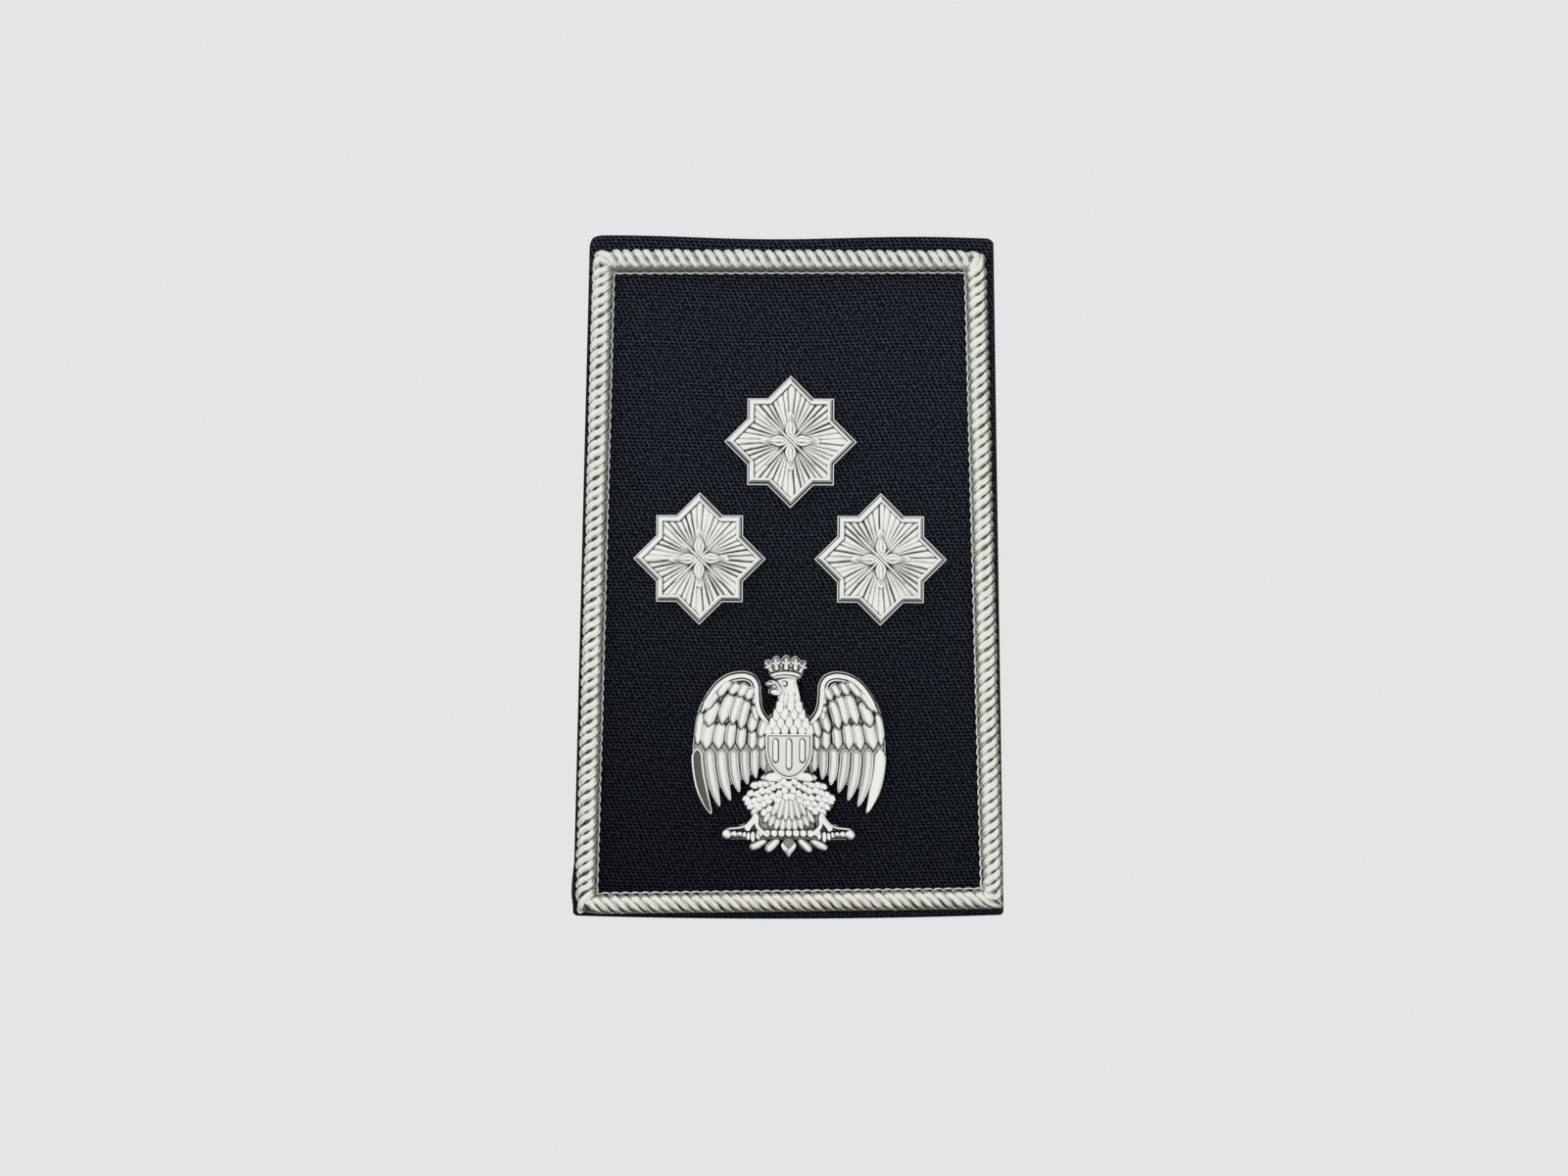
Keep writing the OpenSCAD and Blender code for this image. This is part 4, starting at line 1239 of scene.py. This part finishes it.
CROWN_BANDS = [
    ([(-2.65, 11.1), (-1.6, 11.4), (-0.5, 11.5), (0.6, 11.38), (1.55, 11.05)], 0.48),
    ([(-2.3, 10.8), (-1.4, 10.98), (-0.6, 11.03), (0.3, 10.95), (1.1, 10.75)], 0.32),
]
# foot, tip, width across the lobes
CROWN_LEAVES = [
    ((-2.35, 11.6), (-3.3, 13.0), 0.8), ((-1.75, 11.8), (-1.95, 13.5), 1.0),
    ((-0.48, 11.85), (-0.45, 13.55), 1.05), ((0.8, 11.8), (0.9, 13.5), 1.0), ((1.4, 11.5), (2.2, 13.0), 0.8),
]
# out, up, radius
CROWN_PEARLS = [(-2.55, 12.5, 0.24), (-1.15, 12.55, 0.28), (0.2, 12.55, 0.28), (1.55, 12.5, 0.24),
                (-1.15, 11.95, 0.2), (0.2, 11.95, 0.2)]
# angle of each lobe of a leaf in the crown, and its length as a share of the middle one's
LOBES = [(-52, 0.75), (0, 1), (52, 0.75)]
lobe_steps = 8
# the stem's points of a leaf's line and the one where the lobes meet, and widths for a leaf 1 mm wide
stem_points = 10
joint_point = 6
stem_half_w = 0.28
lobe_half_w = 1 / 3.7
# reach from the core, drop from the top in mm, painted shade
FEATHER = [(1.1, 9, 1), (1.02, 9, 1), (1, 0.24, 1), (0.93, 0.2, 1), (0.8, 0.04, 0.15), (0.68, 0, 0),
           (0.5, 0.08, 0.45), (0.3, 0.06, 0.15), (0.12, 0.04, 0.05)]
QUILL = [(1.06, 9, 1), (1.02, 9, 1), (1, 0.2, 1), (0.93, 0.17, 1), (0.84, 0.02, 0.1), (0.68, 0, 0),
         (0.52, 0.1, 0.55), (0.3, 0.1, 0.3), (0.1, 0.05, 0.2)]
HOLLOW_QUILL = [(1.06, 9, 1), (1.02, 9, 1), (1, 0.2, 0.6), (0.9, 0.02, 0), (0.64, 0, 0), (0.54, 0.16, 0.8),
                (0.2, 0.16, 0.85), (0.1, 0.16, 0.85)]
SCALE = [(1.12, 9, 1), (1.03, 9, 1), (1, 0.26, 1), (0.9, 0.22, 1), (0.72, 0.05, 0.1), (0.45, 0, 0),
         (0.12, 0, 0)]
RIB = [(1.3, 9, 1), (1.06, 9, 0.9), (1, 0.18, 0.6), (0.75, 0.03, 0), (0.15, 0, 0)]
ROOF = [(1.1, 9, 0.8), (1.02, 9, 0.6), (1, 0.3, 0.1), (0.06, 0, 0)]
DOME = [(1.2, 9, 1), (1.05, 9, 1), (1, 0.35, 0.7), (0.92, 0.18, 0.2), (0.72, 0.07, 0), (0.4, 0.01, 0),
        (0.12, 0, 0)]
FINIAL = [(1.08, 9, 1), (1.03, 9, 1), (1, 0.2, 0.9), (0.86, 0.05, 0.1), (0.5, 0, 0), (0.1, 0, 0)]
FACET = [(1.05, 9, 1), (1, 0.05, 0.75), (0.1, 0, 0.7)]
SHIELD = [(1.02, 9, 1), (1, 0.15, 0.6), (0.985, 0.02, 0), (0.92, 0, 0), (0.905, 0.22, 1), (0.87, 0.24, 0.5),
          (0.8, 0.2, 0.25), (0.1, 0.16, 0.25)]


def smooth_line(table, steps, closed=False):
    """A smooth line through places (a Catmull-Rom spline)."""
    knots = np.array(table, float)
    if closed:
        knots = np.concatenate([knots[-1:], knots, knots[:2]])
    else:
        knots = np.concatenate([2 * knots[:1] - knots[1:2], knots, 2 * knots[-1:] - knots[-2:-1]])
    t = np.linspace(0, 1, steps, endpoint=False)[:, None]
    a, b, c, d = (knots[i:len(knots) - 3 + i, None] for i in range(4))
    square, cube = 2 * a - 5 * b + 4 * c - d, 3 * b - a - 3 * c + d
    line = (0.5 * (2 * b + (c - a) * t + square * t ** 2 + cube * t ** 3)).reshape(-1, 2)
    return line if closed else np.concatenate([line, knots[-2:-1]])


def flat_plate(line, top, dark=0.4):
    """A flat plate inside a closed line. Its upper edge is softened, with a shallow furrow inside it that
    painted shade darkens, and dark is how much painted shade its face gets."""
    x, y = line.T
    if (x * np.roll(y, -1) - y * np.roll(x, -1)).sum() < 0:
        line = line[::-1]
    inward = to_left(np.roll(line, -1, 0) - np.roll(line, 1, 0))
    soft = flange_soft
    inset, level, deep = np.array([
        (0, 0, 0.6), (0, top - soft, 0.3), (0.3 * soft, top - 0.3 * soft, 0.1), (soft, top, 0.1),
        (1.4 * soft, top - furrow, rim_dark), (2.4 * soft, top - furrow, rim_dark), (3 * soft, top, dark)]).T
    place = line + inset[:, None, None] * inward
    level = np.broadcast_to(level[:, None, None], (*place.shape[:2], 1))
    return capped(np.concatenate([place, level], -1), deep)


def feather(row, top, foot, section, taper, tilt=0.12, deepen=1):
    """A feather from a row of a table: root, tip, width and bend in shares."""
    line, t = straight(row[:2] * half_size, row[2:4] * half_size, leaf_rows, row[5] * half_size[0])
    half_w = row[4] * half_size[0] / 2 * np.maximum(taper(t), 0.04)
    return leaf(line, half_w, top, foot, section, tilt, deepen)


def pointed(t):
    """A taper: a root of the distance from each end, nearly straight at the tip."""
    return np.minimum(1, np.sqrt(6 * t + 0.3)) * np.minimum(1, (2.6 * (1 - t)) ** 0.75)


def blade(t):
    """A taper: a square root of the distance from each end."""
    return np.minimum(1, np.sqrt(8 * t + 0.05)) * np.minimum(1, np.sqrt(2.6 * (1 - t)))


def plume(t):
    """A taper: a straight rise from the root, times a square root of the distance from the tip."""
    return (0.3 + 0.7 * t) * np.minimum(1, np.sqrt(4.5 * (1 - t)))


def ridge(line, width, top, foot):
    """A rounded ridge along a line."""
    return leaf(line, width / 2 * even(np.linspace(0, 1, len(line))), top, foot, RIB)


def dome(at, radius, top, foot):
    """A round dome."""
    return mound(circle(radius, at), np.array(at), top, foot, DOME)


def mirrored(parts):
    """The parts with left and right changed over, and their faces turned to look outwards again."""
    flip = [-1, 1, 1]
    return [(points * flip, [some[:, ::-1] for some in faces], deep) for points, faces, deep in parts]


# the wing's rows from the longest feathers up: table, section, taper, height of their foot
WING_ROWS = [
    (PRIMARIES, QUILL, blade, 0.1), (SECONDARIES, FEATHER, covert, plate_t + furrow),
    (MEDIANS, FEATHER, covert, plate_t + furrow), (LESSERS, FEATHER, covert, plate_t + furrow),
]


def wing(outer_section):
    """One wing, on the right: plate, rows of feathers from the longest up, and the leading edges. Its
    outermost feather has a section of its own."""
    outline = smooth_line(WING_EDGE, wing_steps, closed=True) * half_size
    parts = [flat_plate(outline, plate_t, 0.55)]
    for tier, (rows, section, taper, foot) in enumerate(WING_ROWS):
        top = plate_t + (tier + 1) * step
        for number, row in enumerate(rows):
            varied = row + rng.normal(0, row_varies)
            level = top + stagger * (number % 2) + rng.normal(0, level_varies)
            shape = outer_section if tier == number == 0 else section
            parts.append(feather(varied, level, foot, shape, taper, deepen=rng.uniform(0.7, 1.2)))
    for first, last, distance, width in WING_RIDGES:
        line = outline[wing_steps * first:wing_steps * last + 1]
        line = line - distance * to_left(np.gradient(line, axis=0))
        parts.append(ridge(line, width, top + 0.15 * width, plate_t))
    return parts


def breast_row(angle, start, stop, width):
    """The row of a feather that points away from the breast's middle at an angle from straight down."""
    way = np.array([np.sin(angle), -np.cos(angle)])
    return np.array([*(way * start + [0, breast_y]), *(way * stop + [0, breast_y]), width, 0])


def body():
    """Body plate, tail, breast scales, thighs, and neck scales and streaks."""
    right = smooth_line([(across, up) for up, across in BODY], 6) * half_size
    parts = [flat_plate(np.concatenate([right, right[::-1] * [-1, 1]]), plate_t + step, 0.6)]
    foot = plate_t + step + overlap
    top = foot + breast_lift
    for tier, (start, far, between, number) in enumerate(TAIL_TIERS):
        for i in range(number):
            off = i - (number - 1) / 2
            row = breast_row(math.radians(between * off), start, far - tail_shortens * off * off, tail_w)
            level = top + tail_lift + tail_step * tier + stagger * (i % 2)
            parts.append(feather(row, level, foot, FEATHER, plume))
    long, wide = breast_scale
    for ring, (r, first, last, number) in enumerate(BREAST_SCALES):
        shift = (ring % 2) * (last - first) / (number - 1) / 2
        for angle in np.radians(np.linspace(first, last, number) - shift):
            for side in (-1, 1):
                a = side * (angle + rng.normal(0, scale_strays))
                row = breast_row(a, r - long / 2, r + long / 2, wide * rng.uniform(*scale_varies))
                parts.append(feather(row, top + stagger * ring, foot, SCALE, pointed, tilt=0.25))
    thigh = feather(np.array(THIGH), top + thigh_lift, foot, SCALE, covert)
    parts += [thigh, *mirrored([thigh])]
    parts.append(straight_leaf(*NECK[:2], NECK[2] / 2, even, top + neck_lift, foot, DOME))
    for root, tip, width in STREAKS:
        level = top + streak_lift
        parts.append(straight_leaf(root, tip, width / 2, oval, level, top + 0.1, SCALE, 0.1, 0.7))
    long, wide = neck_scale
    for up, across, number in NECK_SCALES[::-1]:
        for x in [across, -across][:number]:
            row = np.array([x * 0.9, up + long / 2, x * 1.1, up - long / 2, wide, 0])
            level = top + neck_lift + neck_rises * (up - 0.2)
            parts.append(feather(row, level, foot, SCALE, pointed, tilt=0.3))
    across, up, number = PERCH_ROW
    for x in np.linspace(-across, across, number):
        row = np.array([x, up + 0.05, x, up - 0.035, 0.08, 0])
        parts.append(feather(row, top + perch_row_lift, foot, SCALE, covert))
    return parts


def perch():
    """Perch plate, and on the right side leaves, leg, claws and the beads of the perch's end."""
    top = plate_t + 3 * step
    foot = plate_t + overlap
    side = np.array(PERCH) * half_size
    parts = [flat_plate(np.concatenate([side, side[-2:0:-1] * [-1, 1]]), plate_t, 1)]
    parts.append(feather(np.array(MIDDLE_LEAF), plate_t + 2 * step, 0, ROOF, kite, tilt=0.3))
    parts.append(feather(np.array(MIDDLE_FACET), plate_t + 2.4 * step, plate_t, FACET, kite))
    half = [feather(np.array(row), plate_t + 1.6 * step, 0, FEATHER, oval, tilt=0.3) for row in SIDE_LEAVES]
    for line, width, lift in PERCH_RIDGES:
        half.append(ridge(smooth_line(line, 7) * half_size, width, top + lift, foot))
    half += [feather(np.array(row), top + 0.2, foot, SCALE, oval) for row in CLAWS]
    half += [dome(bead[:2] * half_size, bead[2], top + 0.15, foot) for bead in PERCH_BEADS]
    return parts + half + mirrored(half)


def shield():
    """A field with a rim, a straight top and flanks, and a foot that narrows as a rounded point, with
    three upright bars on it. The foot's half width is a power of what is left of a power of its depth."""
    half, top = shield_half_w * half_size[0], shield_top * half_size[1]
    tip = shield_tip * half_size[1]
    flank = top - (top - tip) * shield_flank
    t = np.linspace(0, 1, 16) ** 0.7
    foot = np.stack([half * (1 - t ** 1.8) ** 0.55, flank + (tip - flank) * t], -1)
    outline = np.concatenate([foot * [-1, 1], foot[-2::-1], [[half, top], [-half, top]]])
    level = plate_t + 4.2 * step
    parts = [mound(outline, np.array([0, 0.3]), level, plate_t, SHIELD)]
    for x, low in SHIELD_BARS:
        parts.append(straight_leaf((x, top - 0.7), (x, low), 0.36, even, level + 0.02, level - 0.14, BAR))
    return parts


def head():
    """The head looks to the left with its beak open."""
    top = plate_t + 4 * step
    parts = [mound(smooth_line(HEAD, 3, closed=True), np.array(head_core), top - 0.1, 1, DOME),
             flat_plate(np.array(BEAK_PLATE), top - 0.6)]
    for (root, tip, width), taper, level in ((BEAK_UPPER, plume, top), (BEAK_LOWER, oval, top - 0.1)):
        line, t = straight(root, tip, leaf_rows)
        parts.append(leaf(line, width / 2 * np.maximum(taper(t), 0.05), level, 0.3, SCALE))
    for line, width, lift in HEAD_RIDGES:
        parts.append(ridge(smooth_line(line, 5), width, top + lift, top - 0.25))
    return parts + [dome(EYE, eye_r, top + 0.12, top - 0.08)]


def crown():
    """Five leaves, each of three lobes on a stem, with pearls between them, over two bands."""
    top = plate_t + 4 * step
    base = top - 2 * step
    parts = [flat_plate(np.array(CROWN), base, 0.5)]
    for line, width in CROWN_BANDS:
        parts.append(ridge(smooth_line(line, 6), width, top + 0.35 * width, base + overlap))
    for foot, tip, width in CROWN_LEAVES:
        line, t = straight(foot, tip, leaf_rows)
        stem_w = width * stem_half_w * even(t[:stem_points]) + 0.02
        parts.append(leaf(line[:stem_points], stem_w, top - 0.05, base, RIB))
        joint = line[joint_point]
        for angle, length in LOBES:
            c, s = math.cos(math.radians(angle)), math.sin(math.radians(angle))
            way = (line[-1] - joint) @ [[c, s], [-s, c]]
            lobe, t = straight(joint, joint + way * length, lobe_steps)
            parts.append(leaf(lobe, width * lobe_half_w * plume(t), top + 0.1, base, FINIAL))
    return parts + [dome(np.array(at), radius, top, base) for *at, radius in CROWN_PEARLS]


eagle_parts = wing(RIB) + mirrored(wing(HOLLOW_QUILL)) + body() + perch() + shield() + head() + crown()
eagle_parts = placed(eagle_parts, eagle_at)
for washer in ("washer_eagle_upper", "washer_eagle_lower"):
    eagle_parts.append(post(middle_of(washer), badge_z + plate_t / 2))
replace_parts(new_piece("eagle_casting", eagle_parts, plate_silver, 35), "eagle")


# Washers. Five plain steel rings inside the sleeve, one pushed on each post, hold the badges on the
# cloth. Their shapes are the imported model's own.
steel = (0.5, 0.5, 0.49)
steel_rough = 0.28
lines_rougher = 0.2
line_stretch = (300, 9000, 300)


def brushed_steel(graph):
    """Steel with a fine grain of lines across the board."""
    lines = graph.node("ShaderNodeMapping", inputs={"Vector": graph.place(), "Scale": line_stretch})
    return graph.node("ShaderNodeBsdfPrincipled", inputs={
        "Base Color": rgba(steel), "Metallic": 1,
        "Roughness": steel_rough + lines.noise(1, 2) * lines_rougher})


washer_steel = new_material("brushed_washer", brushed_steel)
for washer in [piece for piece in bpy.data.objects if piece.name.startswith("washer_")]:
    washer.data.materials.clear()
    washer.data.materials.append(washer_steel)
